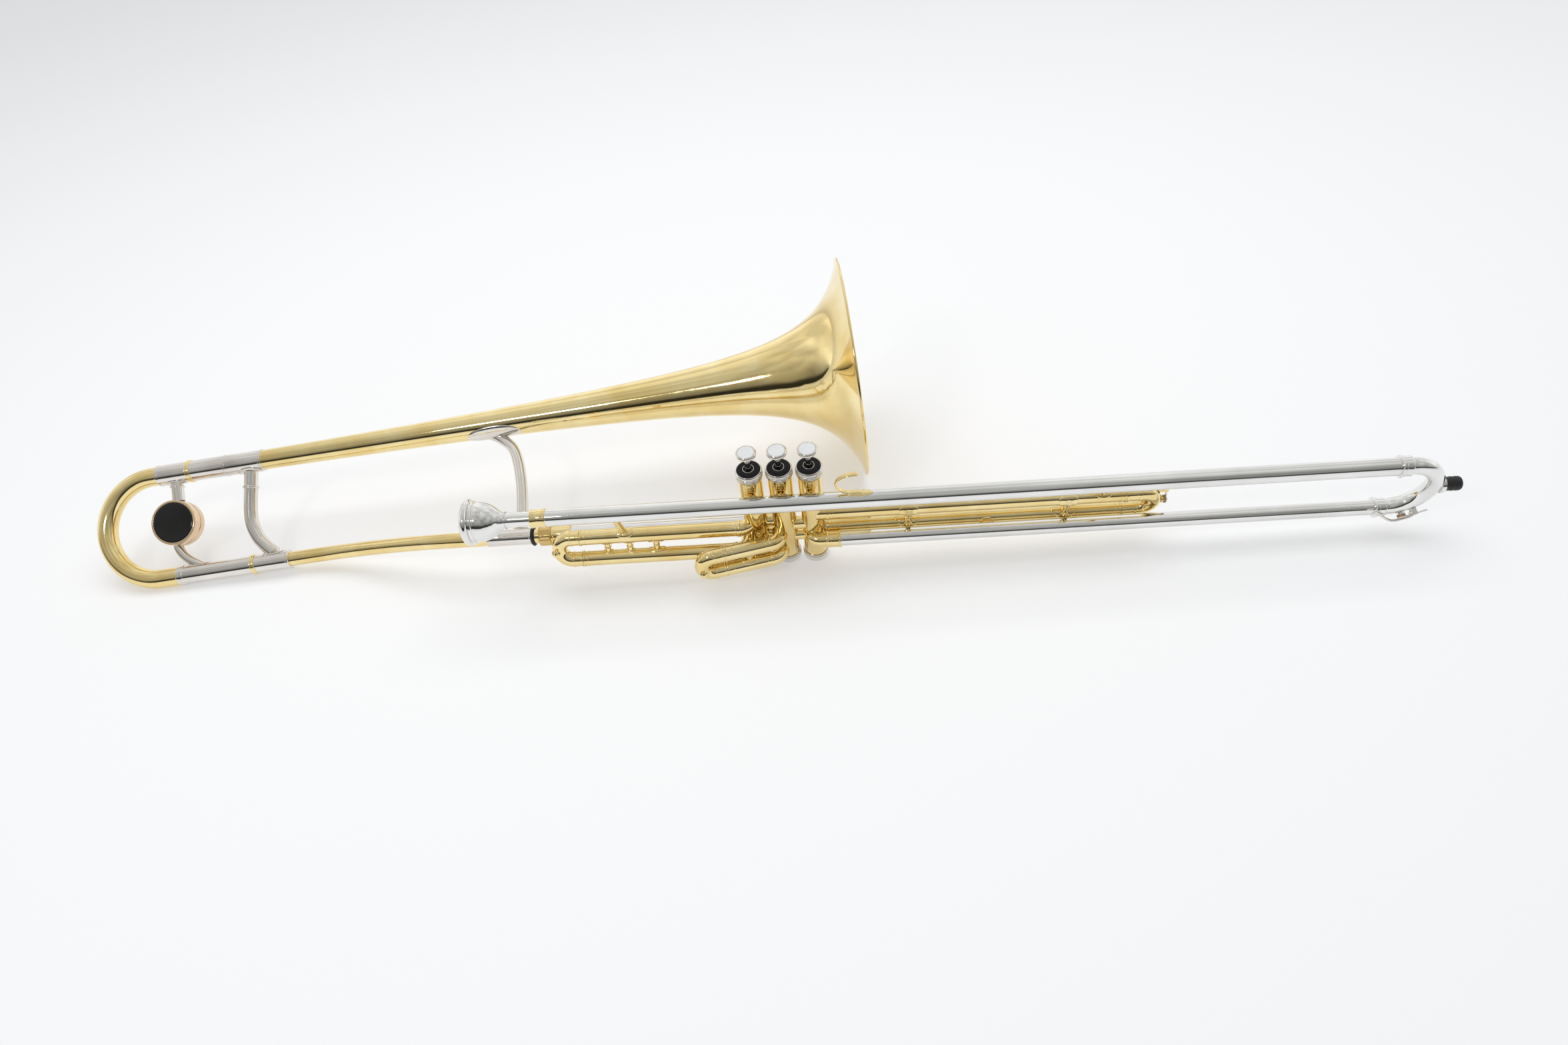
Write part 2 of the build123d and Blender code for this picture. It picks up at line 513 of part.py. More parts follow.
arm_line = Spline(*[on_bell(s, w) for s, w in ((646.6, 60.0), (645.9, 69.0), (642.6, 76.0), (636.4, 82.6),
                                               (629.0, 87.4), (620.0, 92.4))],
                  tangents=[slide_dir, slide_dir * 0.5 + bell_axis * 0.87])
arm = cut(pipe(arm_line, 8.6), leg_low_bar, weight_bar)
arm_flange = saddle(on_bell(627.0, leg_spread), bell_axis, slide_dir * -1, lower_sleeve_d, 22.0, 13.0)
keep("tuning_legs", leg_up, leg_low)
keep("balance_weight", weight)
keep("weight_braces", post, arm + arm_flange)

# Rear brace between the two sleeves of the bell section
sleeve_up_bar = rod(on_bell(bell_tail), on_bell(us), upper_sleeve_d)
sleeve_low_bar = rod(on_bell(e, leg_spread), on_bell(ls, leg_spread), lower_sleeve_d)
brace_a = on_bell(569.0, 3.0)
brace_b = on_bell(573.9, 44.0)
brace_dir = (brace_b - brace_a).normalized()
brace_line = Spline(brace_a, brace_b, *[on_bell(s, w) for s, w in ((573.6, 59.0), (569.0, 72.3), (562.2, 81.4),
                                                                   (553.0, 90.6))],
                    tangents=[brace_dir, slide_dir + bell_axis])
rear_brace = cut(pipe(brace_line, 12.4), sleeve_up_bar, sleeve_low_bar)
rear_brace += turned([(0, 19.4), (6.9, 19.4), (7.4, 20.2), (7.4, 21.8), (6.9, 22.6), (0, 22.6)],
                     brace_a, brace_dir)
rear_brace += saddle(on_bell(569.5), bell_axis, slide_dir, upper_sleeve_d, 24.0, 17.0)
rear_brace += saddle(on_bell(555.8, leg_spread), bell_axis, slide_dir * -1, lower_sleeve_d, 22.0, 14.0)
keep("rear_brace", rear_brace)

# Long brace from the bell to the neck sleeve
neck_bar = rod((neck_sleeve_x0 + 1.4, lock_y, lock_z), (neck_sleeve_x1 - 1.4, lock_y, lock_z), lock_d + 1.2)
long_line = Spline(on_bell(350.0, 3.0), (-263.3, 112.1, 55.1), (-249.9, 99.9, 53.2), (-242.6, 82.5, 50.4),
                   (-237.3, 59.0, 46.8), (-234.2, 36.0, 43.2), (-233.0, lock_y + 4.0, lock_z + 0.5),
                   tangents=[(0.95, -0.3, -0.05), (0, -1, -0.155)])
bell_brace = cut(pipe(long_line, 10.4), bell_blank, neck_bar)
shell_at = rod(on_bell(362), on_bell(308), 2 * flare(308) + 4)
pl = Plane(origin=on_bell(335), x_dir=bell_axis, z_dir=slide_dir)
flange = extrude(pl * Ellipse(25.0, 8.2), amount=30) & shell_at
thick = Plane(origin=bell_origin, z_dir=bell_axis).location * revolve(
    make_face([Spline(*[(flare(s) + 0.9, 0, -s) for s in (380, 355, 335, 315, 290)]),
               Line((flare(290) + 0.9, 0, -290), (0, 0, -290)), Line((0, 0, -290), (0, 0, -380)),
               Line((0, 0, -380), (flare(380) + 0.9, 0, -380))]), Axis.Z)
flange = (flange & thick) - bell_blank
neck_saddle = saddle((-233.0, lock_y, lock_z), X, (0, 1, 0.1), lock_d + 1.2, 16.0, 12.0)
keep("bell_brace", bell_brace + flange + neck_saddle)


# Valve slides
def slide_ring(p, way, t=1.8, d=ring_od, bore=slide_od):
    return rod(Vector(p), Vector(p) + Vector(way) * t, d, bore)


def bow_node(p_up, p_low, way, reach, extra=None):
    """The pulling end of a slide: sockets, rings and half circle; way points out of the bow."""
    way = Vector(way).normalized()
    p_up, p_low = Vector(p_up), Vector(p_low)
    path = u_wire(p_up, p_low, way, reach)
    body = pipe(path, slide_od, leg_od)
    for p in (p_up, p_low):
        body += slide_ring(p - way * reach, way, 1.4)
        body += slide_ring(p - way * 1.8, way, 1.6)
    return body


def legs_node(p_up, p_low, way, reach, back_len):
    way = Vector(way).normalized()
    out = []
    for p in (Vector(p_up), Vector(p_low)):
        out.append(rod(p - way * (reach + back_len), p - way * 3.0, leg_od, leg_od - 1.0))
    return out


def brace_between(a, b, axis, d, post_d, flange_l, flange_w):
    """A post with a flange on each of two parallel tubes."""
    a, b, axis = Vector(a), Vector(b), Vector(axis)
    bar_a = rod(a - axis * 30, a + axis * 30, d)
    bar_b = rod(b - axis * 30, b + axis * 30, d)
    post = cut(rod(a, b, post_d), bar_a, bar_b)
    return post + saddle(a, axis, b - a, d, flange_l, flange_w) + saddle(b, axis, a - b, d, flange_l, flange_w)


# Slide 1, to the left of the valves
p_up = [Vector(x, *s1_up) for x in (s1_in, s1_out, s1_bow)]
p_low = [Vector(x, *s1_low) for x in (s1_in, s1_out, s1_bow)]
reach1 = s1_out - part_gap - s1_bow
tube_u = rod(p_up[1], p_up[0], slide_od, slide_bore)
tube_l = rod(p_low[1], p_low[0] - X * 4, slide_od, slide_bore)
arc_u = Wire([ThreePointArc(p_up[0], p_up[0] + Vector(10 * sin(pi / 8), 10 * (1 - cos(pi / 8)), 0),
                            p_up[0] + Vector(10 * sin(pi / 4), 10 * (1 - cos(pi / 4)), 0)),
              Line(p_up[0] + Vector(10 * sin(pi / 4), 10 * (1 - cos(pi / 4)), 0),
                   p_up[0] + Vector(10 * sin(pi / 4) + 3, 10 * (1 - cos(pi / 4)) + 3, 0))])
q = p_low[0] - X * 4
arc_l = Wire([ThreePointArc(q, q + Vector(9 * sin(pi / 4), 9 * (1 - cos(pi / 4)), 0), q + Vector(9, 9, 0)),
              Line(q + Vector(9, 9, 0), q + Vector(9, 12, 0))])
elbow_u = cut(pipe(arc_u, slide_od, slide_bore), casing_blank[0])
elbow_l = cut(pipe(arc_l, slide_od, slide_bore), casing_blank[0])
s1_tubes = tube_u + elbow_u + slide_ring(p_up[0] - X * 2.5, X) + slide_ring(p_up[1], X, 1.4)
s1_tubes_l = tube_l + elbow_l + slide_ring(q - X * 2.5, X) + slide_ring(p_low[1], X, 1.4)
s1_braces = []
for x, pd, fl, fw in ((-153.6, 4.5, 9.0, 7.0), (-134.4, 4.5, 9.0, 7.0), (-111.3, 5.0, 14.0, 8.5)):
    s1_braces.append(brace_between(Vector(x, *s1_up), Vector(x, *s1_low), X, slide_od, pd, fl, fw))
s1_strut_a = Vector(-139.6, mouthpipe_y, mouthpipe_z)
s1_strut_b = Vector(-136.5, *s1_up)
strut = cut(rod(s1_strut_a, s1_strut_b, 6.0), mouthpipe_bar, rod(p_up[1], p_up[0], slide_od))
strut += saddle(s1_strut_b, X, s1_strut_a - s1_strut_b, slide_od, 13.0, 9.0)
strut += saddle(s1_strut_a, X, s1_strut_b - s1_strut_a, mouthpipe_d, 12.0, 8.0)
keep("slide_1_tubes", s1_tubes + s1_braces[0] + s1_braces[1] + s1_braces[2] + s1_tubes_l)
bow1 = bow_node(p_up[2], p_low[2], -X, reach1)
fin_r = (p_up[2] - p_low[2]).length / 2
fin_c = (p_up[2] + p_low[2]) * 0.5
fin_out = Vector(-0.30, -0.72, 0.62).normalized()
bow1_bar = pipe(u_wire(p_up[2], p_low[2], -X, reach1), slide_od)


def finial(c, out, r):
    return turned([(0, 0), (3.4, 0), (3.4, r + 0.6), (2.6, r + 1.0), (2.1, r + 1.7), (2.9, r + 2.8), (2.6, r + 3.8),
                   (1.2, r + 4.6), (0, r + 4.7)], c, out)


f1 = fin_c - X * fin_r * cos(radians(12)) + (p_low[2] - fin_c).normalized() * fin_r * sin(radians(12))
bow1 += finial(f1, fin_out, slide_od / 2) - bow1_bar
keep("slide_1_bow", bow1)
keep("slide_1_legs", *legs_node(p_up[2], p_low[2], -X, reach1, 118.0))

# Slide 2, in front of the valves
d2 = Vector(cos(radians(s2_yaw)), sin(radians(s2_yaw)), 0)
n2 = Vector(-d2.Y, d2.X, 0)
s2_parts = []
bow_ends = []
for z in (s2_up_z, s2_low_z):
    st = Vector(s2_start[0], s2_start[1], z)
    outer_end = st - d2 * s2_len
    tube = rod(outer_end, st, slide_od, slide_bore)
    c = st + n2 * 9.0
    turn = radians(90 - s2_yaw)
    mid = c - n2 * 9.0 * cos(turn / 2) + d2 * 9.0 * sin(turn / 2)
    end = c + X * 9.0
    elbow2 = cut(pipe(Wire([ThreePointArc(st, mid, end), Line(end, end + Y * 5)]), slide_od, slide_bore), casing_blank[1])
    s2_parts.append(tube + elbow2 + slide_ring(st - d2 * 2.4, d2) + slide_ring(outer_end, d2, 1.4))
    bow_ends.append(st - d2 * s2_bow)
s2_mid = [Vector(s2_start[0], s2_start[1], z) - d2 * 20.5 for z in (s2_up_z, s2_low_z)]
s2_brace = brace_between(s2_mid[0], s2_mid[1], d2, slide_od, 4.6, 13.0, 9.0)
keep("slide_2_tubes", s2_parts[0] + s2_brace + s2_parts[1])
reach2 = s2_bow - s2_len - part_gap
bow2 = bow_node(bow_ends[0], bow_ends[1], d2 * -1, reach2)
bow2_bar = pipe(u_wire(bow_ends[0], bow_ends[1], d2 * -1, reach2), slide_od)
c2 = (bow_ends[0] + bow_ends[1]) * 0.5
r2 = (bow_ends[0] - bow_ends[1]).length / 2
f2 = c2 - d2 * r2 * cos(radians(38)) - Z * r2 * sin(radians(38))
bow2 += finial(f2, (-0.15, -0.85, 0.45), slide_od / 2) - bow2_bar
keep("slide_2_bow", bow2)
keep("slide_2_legs", *legs_node(bow_ends[0], bow_ends[1], d2 * -1, reach2, 37.0))

# Slide 3, to the right between the long tubes
q_up = [Vector(x, *s3_up) for x in (s3_in, s3_out, s3_bow)]
q_low = [Vector(x, *s3_low) for x in (s3_in, s3_out, s3_bow)]
reach3 = s3_bow - s3_out - part_gap
s3_parts = []
for pts in (q_up, q_low):
    tube = cut(rod(Vector(27, pts[0].Y, pts[0].Z), pts[1], slide_od, slide_bore), casing_blank[2])
    s3_parts.append(tube + slide_ring(pts[0] - X * 1, X, 2.2) + slide_ring(pts[0] + X * 2.6, X, 0.8)
                    + slide_ring(pts[1] - X * 1.4, X, 1.4))
s3_all = s3_parts[0]
for x in (104.5, 236.3):
    s3_all += brace_between(Vector(x, *s3_up), Vector(x, *s3_low), X, slide_od, 5.0, 22.0, 10.5)
keep("slide_3_tubes", s3_all + s3_parts[1])
bow3 = bow_node(q_up[2], q_low[2], X, reach3)
bow3_bar = pipe(u_wire(q_up[2], q_low[2], X, reach3), slide_od)
c3 = (q_up[2] + q_low[2]) * 0.5
r3 = (q_up[2] - q_low[2]).length / 2
k3 = water_key(c3 + X * r3, X, (0, 0.45, 0.89), slide_od / 2, 6.0)
bow3 = bow3 + (k3[0] - bow3_bar) + (k3[1] - bow3_bar)
keep("slide_3_bow", bow3 + k3[2])
keep("slide_3_legs", *legs_node(q_up[2], q_low[2], X, reach3, 225.0))
keep("slide_key_pad", k3[3])
keep("slide_key_lever", k3[4])
keep("slide_key_spring", k3[5])

# Stays from slides 1 and 3 to the long tubes
stay_a = cut(rod(Vector(171.0, *s3_low), (171.0, lower_y, lower_z), 4.6),
             rod(q_low[0], q_low[1], slide_od), lower_bar)
stay_b = cut(rod(Vector(265.0, *s3_up), (265.0, mouthpipe_y, mouthpipe_z), 4.6),
             rod(q_up[0], q_up[1], slide_od), mouthpipe_bar)
stay_b += saddle(Vector(265.0, *s3_up), X, Vector(0, mouthpipe_y - s3_up[0], mouthpipe_z - s3_up[1]), slide_od, 12, 8)
stay_b += saddle((265.0, mouthpipe_y, mouthpipe_z), X,
                 Vector(0, s3_up[0] - mouthpipe_y, s3_up[1] - mouthpipe_z), mouthpipe_d, 12, 8)
keep("slide_stays", strut, stay_a, stay_b)


def least_gap(line, wire_d, count=360):
    """Least gap of a wound wire to itself, on points along its centreline."""
    pts = [line @ (k / count) for k in range(count + 1)]
    step = (pts[1] - pts[0]).length
    skip = int(3 * wire_d / step) + 2
    best = 1e9
    for i in range(0, count + 1):
        for j in range(i + skip, count + 1):
            best = min(best, (pts[i] - pts[j]).length)
    return best - wire_d


for label, line, wire_d in wound:
    print(label, "least gap to itself", round(least_gap(line, wire_d), 2), "mm")

# Set the instrument down and write one file per piece
rest = Location((rest_x, rest_y, rest_lift)) * Location((0, 0, 0), (rest_roll, 0, 0))
rest = rest * Location((0, 0, 0), (0, rest_pitch, 0))
for name, items in nodes.items():
    moved = [item.moved(rest) for item in items]
    shape = moved[0] if len(moved) == 1 else Compound(children=moved)
    export_step(shape, f"parts/{name}.step")
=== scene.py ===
"""Looks of the valve trombone: the studio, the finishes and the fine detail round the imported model."""
import json
import math

import bmesh
import bpy
from mathutils import Matrix, Vector


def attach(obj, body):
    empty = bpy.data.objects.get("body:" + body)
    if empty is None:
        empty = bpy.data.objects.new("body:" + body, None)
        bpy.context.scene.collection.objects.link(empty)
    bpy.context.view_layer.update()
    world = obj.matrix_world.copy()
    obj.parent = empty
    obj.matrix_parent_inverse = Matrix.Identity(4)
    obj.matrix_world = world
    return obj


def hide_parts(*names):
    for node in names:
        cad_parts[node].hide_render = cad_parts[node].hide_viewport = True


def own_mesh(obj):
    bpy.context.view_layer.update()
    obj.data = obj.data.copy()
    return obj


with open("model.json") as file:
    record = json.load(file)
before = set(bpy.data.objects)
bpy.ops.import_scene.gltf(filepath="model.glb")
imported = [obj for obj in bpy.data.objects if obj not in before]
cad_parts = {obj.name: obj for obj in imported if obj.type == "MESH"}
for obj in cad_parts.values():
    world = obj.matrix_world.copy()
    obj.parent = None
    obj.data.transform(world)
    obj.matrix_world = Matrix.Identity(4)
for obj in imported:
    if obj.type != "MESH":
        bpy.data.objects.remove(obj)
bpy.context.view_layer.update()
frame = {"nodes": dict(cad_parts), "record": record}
cad_nodes = frame["nodes"]

# Place of the instrument's own frame: X along the tubes, Z up the valves, millimetres
MM = 0.001
rest_roll, rest_pitch = 8.538, 1.038
rest_shift = Vector((49.6, -92.35, 1.93))
rest_turn = Matrix.Rotation(math.radians(rest_roll), 3, "X") @ Matrix.Rotation(math.radians(rest_pitch), 3, "Y")

X = Vector((1, 0, 0))
Y = Vector((0, 1, 0))
Z = Vector((0, 0, 1))


# Driving dimensions, the same as the part's
valve_pitch = 24.5
casing_od = 20.3
cap_od = 22.7
bottom_cap_h = 8.5
top_cap_z1, top_cap_h = 113.3, 7.0
felt_od, felt_z0, felt_z1 = 18.9, 112.0, 114.1
guide_od, guide_top = 9.6, 114.5
stem_d = 5.0
button_d, inlay_d = 16.8, 13.7
button_z0, button_z1 = 129.6, 133.6
mouthpipe_d, mouthpipe_y, mouthpipe_z = 14.6, -20.0, 91.5
lower_d, lower_y, lower_z = 12.8, -14.0, 34.6
lock_d, lock_y, lock_z = 13.4, 5.5, 38.7
receiver_x0 = -206.0
crook_x, crook_d, crook_ferrule = 496.4, 13.8, 9.0
bell_origin = Vector((66.11, 151.47, 77.48))
bell_axis = Vector((1, 0.0824, 0.0442)).normalized()
slide_dir = Vector((0.0925, -0.8176, -0.5683)).normalized()
slide_dir = (slide_dir - bell_axis * slide_dir.dot(bell_axis)).normalized()
bell_normal = -bell_axis.cross(slide_dir).normalized()
leg_spread = 96.3
bell_wall, rim_bead = 0.8, 2.7
bell_tail, bell_tail_d = 556.0, 18.4
flare_b, flare_s0, flare_a, flare_c = 1031.08, 22.0, 0.7415, -0.055
weight_d, weight_t, weight_s, weight_w, badge_d = 42.6, 18.0, 643.9, 47.0, 37.6
cup_rim_d, cup_x, shank_d = 39.0, -261.0, 12.6


def on_bell(s, w=0.0, n=0.0):
    """A point at s behind the rim, w across to the lower leg, n out of the bell's plane."""
    return bell_origin - bell_axis * s + slide_dir * w + bell_normal * n


# Mesh helpers
def finished(name, bm, sharp=35.0):
    """A mesh object from a bmesh in the instrument's own millimetres, shaded smooth up to the given angle."""
    bmesh.ops.remove_doubles(bm, verts=bm.verts, dist=0.002)
    bmesh.ops.recalc_face_normals(bm, faces=bm.faces)
    mesh = bpy.data.meshes.new(name)
    bm.to_mesh(mesh)
    bm.free()
    mesh.transform(Matrix.Translation(rest_shift * MM) @ rest_turn.to_4x4() @ Matrix.Scale(MM, 4))
    mesh.polygons.foreach_set("use_smooth", [True] * len(mesh.polygons))
    mesh.set_sharp_from_angle(angle=math.radians(sharp))
    obj = bpy.data.objects.new(name, mesh)
    bpy.context.scene.collection.objects.link(obj)
    return obj


def across(axis):
    """Two unit vectors square to an axis."""
    axis = axis.normalized()
    u = axis.orthogonal().normalized()
    return u, axis.cross(u)


def eased(points, radius, steps=4):
    """The closed outline with each corner away from the axis rounded off."""
    out = []
    count = len(points)
    for i in range(count):
        before = Vector(points[i - 1])
        here = Vector(points[i])
        after = Vector(points[(i + 1) % count])
        a, b = before - here, after - here
        reach = min(radius, a.length * 0.45, b.length * 0.45)
        straight = a.length < 1e-6 or b.length < 1e-6 or a.normalized().dot(b.normalized()) < -0.995
        if here.x < 1e-6 or straight or reach < 0.02:
            out.append(tuple(here))
            continue
        p0, p1 = here + a.normalized() * reach, here + b.normalized() * reach
        for k in range(steps + 1):
            t = k / steps
            q = p0 * (1 - t) ** 2 + here * 2 * t * (1 - t) + p1 * t * t
            out.append((q.x, q.y))
    return out


def curved(points, steps=5):
    """A smooth open line through the points."""
    pts = [Vector(p) for p in points]
    pts = [pts[0] * 2 - pts[1]] + pts + [pts[-1] * 2 - pts[-2]]
    out = []
    for i in range(1, len(pts) - 2):
        p0, p1, p2, p3 = pts[i - 1:i + 3]
        for k in range(steps):
            t = k / steps
            out.append(0.5 * (2 * p1 + (p2 - p0) * t + (2 * p0 - 5 * p1 + 4 * p2 - p3) * t * t
                              + (3 * p1 - p0 - 3 * p2 + p3) * t ** 3))
    out.append(pts[-2])
    return out


def lathe(bm, outline, origin, axis, around=96, teeth=0, depth=0.0, band=None):
    """Adds a turned form from a closed (radius, height) outline; a band of heights may be knurled."""
    origin, axis = Vector(origin), Vector(axis).normalized()
    u, v = across(axis)
    rings = []
    for r, h in outline:
        ring = []
        for k in range(around):
            a = 2 * math.pi * k / around
            rk = r
            if teeth and band[0] <= h <= band[1] and r > band[2]:
                rk -= depth * (0.5 + 0.5 * math.cos(teeth * a))
            ring.append(bm.verts.new(origin + axis * h + (u * math.cos(a) + v * math.sin(a)) * rk))
        rings.append(ring)
    for i in range(len(rings)):
        a, b = rings[i], rings[(i + 1) % len(rings)]
        if outline[i][0] < 1e-6 and outline[(i + 1) % len(rings)][0] < 1e-6:
            continue
        for k in range(around):
            n = (k + 1) % around
            bm.faces.new((a[k], a[n], b[n], b[k]))


def turned(name, outline, origin, axis, soft=0.3, sharp=35.0, **kw):
    """A finished object turned from one outline."""
    bm = bmesh.new()
    lathe(bm, eased(outline, soft) if soft else outline, origin, axis, **kw)
    return finished(name, bm, sharp)


def sweep(bm, path, radius, around=40, flat=None, up=None):
    """Adds a closed round bar along a path; flat scales the section across, up gives its first side."""
    path = [Vector(p) for p in path]
    count = len(path)
    side = None
    rings = []
    for i, p in enumerate(path):
        t = (path[min(i + 1, count - 1)] - path[max(i - 1, 0)]).normalized()
        if side is None:
            side = Vector(up) if up is not None else t.orthogonal()
        side = (side - t * side.dot(t)).normalized()
        other = t.cross(side)
        r = radius(i / (count - 1)) if callable(radius) else radius
        ring = []
        for k in range(around):
            a = 2 * math.pi * k / around
            ring.append(bm.verts.new(p + side * math.cos(a) * r + other * math.sin(a) * r * (flat or 1.0)))
        rings.append(ring)
    for a, b in zip(rings, rings[1:]):
        for k in range(around):
            n = (k + 1) % around
            bm.faces.new((a[k], a[n], b[n], b[k]))
    bm.faces.new(rings[0])
    bm.faces.new(rings[-1])


def arc(centre, a, b, start, end, steps=24):
    """Points of an arc about a centre; a and b are the arc's two radius vectors."""
    out = []
    for k in range(steps + 1):
        t = math.radians(start + (end - start) * k / steps)
        out.append(Vector(centre) + Vector(a) * math.cos(t) + Vector(b) * math.sin(t))
    return out


def dressed(obj, body, material, stands_for=()):
    """Gives a piece its finish and the body it rides on, and hides the nodes it stands for."""
    obj.data.materials.append(material)
    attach(obj, body)
    if stands_for:
        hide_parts(*stands_for)
    return obj


# Node helpers
class Recipe:
    """A node tree with short ways to add and join nodes."""

    def __init__(self, name):
        self.material = bpy.data.materials.new(name)
        self.material.use_nodes = True
        self.tree = self.material.node_tree
        self.tree.nodes.clear()
        self.out = self.tree.nodes.new("ShaderNodeOutputMaterial")
        self.shader = self.tree.nodes.new("ShaderNodeBsdfPrincipled")
        self.tree.links.new(self.shader.outputs[0], self.out.inputs[0])
        self.coord = self.tree.nodes.new("ShaderNodeTexCoord").outputs["Object"]

    def link(self, a, b):
        self.tree.links.new(a, b)

    def set(self, **values):
        for key, value in values.items():
            self.shader.inputs[key.replace("_", " ")].default_value = value

    def stretched(self, scale, turn=(0, 0, 0)):
        node = self.tree.nodes.new("ShaderNodeMapping")
        node.inputs["Scale"].default_value = scale
        node.inputs["Rotation"].default_value = [math.radians(a) for a in turn]
        self.link(self.coord, node.inputs["Vector"])
        return node.outputs[0]

    def noise(self, scale, detail=3.0, vector=None, rough=0.55, distortion=0.0):
        node = self.tree.nodes.new("ShaderNodeTexNoise")
        node.inputs["Scale"].default_value = scale
        node.inputs["Detail"].default_value = detail
        node.inputs["Roughness"].default_value = rough
        node.inputs["Distortion"].default_value = distortion
        self.link(vector or self.coord, node.inputs["Vector"])
        return node.outputs[0]

    def spread(self, value, low, high, to_low, to_high):
        node = self.tree.nodes.new("ShaderNodeMapRange")
        for key, number in (("From Min", low), ("From Max", high), ("To Min", to_low), ("To Max", to_high)):
            node.inputs[key].default_value = number
        self.link(value, node.inputs["Value"])
        return node.outputs[0]

    def math(self, op, a, b=None):
        node = self.tree.nodes.new("ShaderNodeMath")
        node.operation = op
        for socket, value in zip(node.inputs, (a, b)):
            if value is None:
                continue
            if isinstance(value, (int, float)):
                socket.default_value = value
            else:
                self.link(value, socket)
        return node.outputs[0]

    def ramp(self, value, stops):
        node = self.tree.nodes.new("ShaderNodeValToRGB")
        ramp = node.color_ramp
        while len(ramp.elements) < len(stops):
            ramp.elements.new(0.5)
        for element, (place_at, colour) in zip(ramp.elements, stops):
            element.position = place_at
            element.color = (*colour, 1)
        self.link(value, node.inputs[0])
        return node.outputs[0]

    def blend(self, amount, a, b):
        node = self.tree.nodes.new("ShaderNodeMix")
        node.data_type = "RGBA"
        for socket, value in ((node.inputs["Factor"], amount), (node.inputs[6], a), (node.inputs[7], b)):
            if isinstance(value, (int, float)):
                socket.default_value = value
            elif isinstance(value, tuple):
                socket.default_value = (*value, 1)
            else:
                self.link(value, socket)
        return node.outputs[2]

    def bump(self, height, strength, distance):
        node = self.tree.nodes.new("ShaderNodeBump")
        node.inputs["Strength"].default_value = strength
        node.inputs["Distance"].default_value = distance
        self.link(height, node.inputs["Height"])
        self.link(node.outputs[0], self.shader.inputs["Normal"])


def plated(name, deep, pale, rough, smudge, coat, lines=0.0, grain=(60, 1400, 1400)):
    """Polished metal: two close shades in clouds, smudged gloss, and fine lines from drawing or spinning."""
    m = Recipe(name)
    clouds = m.noise(28.0, 4.0, distortion=0.4)
    fine = m.noise(900.0, 2.0)
    marks = m.noise(55.0, 5.0, rough=0.62, distortion=1.2)
    m.link(m.ramp(clouds, [(0.32, deep), (0.68, pale)]), m.shader.inputs["Base Color"])
    patch = m.spread(marks, 0.52, 0.72, 0.0, smudge)
    speck = m.spread(fine, 0.3, 0.7, rough * 0.75, rough * 1.3)
    m.link(m.math("ADD", patch, speck), m.shader.inputs["Roughness"])
    m.set(Metallic=1.0, Coat_Weight=coat, Coat_Roughness=0.04, Coat_IOR=1.5)
    streaks = m.noise(1.0, 2.0, m.stretched(grain))
    height = m.math("ADD", m.math("MULTIPLY", streaks, 1.0), m.math("MULTIPLY", fine, 0.25))
    m.bump(height, lines, 0.00012)
    return m.material


def felt():
    m = Recipe("black_felt")
    fibres = m.noise(2600.0, 4.0, rough=0.7)
    lumps = m.noise(420.0, 3.0)
    m.link(m.ramp(m.math("MULTIPLY", fibres, lumps),
                  [(0.12, (0.002, 0.002, 0.003)), (0.5, (0.016, 0.016, 0.018))]),
           m.shader.inputs["Base Color"])
    m.set(Roughness=0.95, Sheen_Weight=0.12, Sheen_Roughness=0.5)
    m.bump(m.math("ADD", fibres, lumps), 0.6, 0.0005)
    return m.material


def pearl():
    m = Recipe("pearl")
    layers = m.noise(1.0, 3.0, m.stretched((120, 420, 260), (20, 30, 15)), distortion=1.5)
    m.link(m.ramp(layers, [(0.25, (0.88, 0.88, 0.89)), (0.5, (0.95, 0.95, 0.95)), (0.72, (0.98, 0.975, 0.96))]),
           m.shader.inputs["Base Color"])
    m.set(Roughness=0.22, Coat_Weight=0.8, Coat_Roughness=0.05, Subsurface_Weight=0.0)
    m.bump(layers, 0.05, 0.0002)
    return m.material


def moulded(name, dark, light, rough, grain_size, bump, coat=0.0):
    m = Recipe(name)
    grain = m.noise(grain_size, 4.0)
    patches = m.noise(90.0, 3.0)
    m.link(m.ramp(patches, [(0.35, dark), (0.65, light)]), m.shader.inputs["Base Color"])
    m.link(m.spread(grain, 0.3, 0.7, rough * 0.85, min(1.0, rough * 1.15)), m.shader.inputs["Roughness"])
    m.set(Coat_Weight=coat, Coat_Roughness=0.05)
    m.bump(grain, bump, 0.0002)
    return m.material


def cork():
    m = Recipe("cork")
    grains = m.tree.nodes.new("ShaderNodeTexVoronoi")
    grains.inputs["Scale"].default_value = 900.0
    m.link(m.coord, grains.inputs["Vector"])
    specks = m.noise(1500.0, 4.0)
    m.link(m.ramp(m.math("MULTIPLY", grains.outputs["Distance"], specks),
                  [(0.05, (0.16, 0.07, 0.03)), (0.3, (0.55, 0.30, 0.13)), (0.6, (0.72, 0.46, 0.24))]),
           m.shader.inputs["Base Color"])
    m.set(Roughness=0.85)
    m.bump(specks, 0.5, 0.0004)
    return m.material


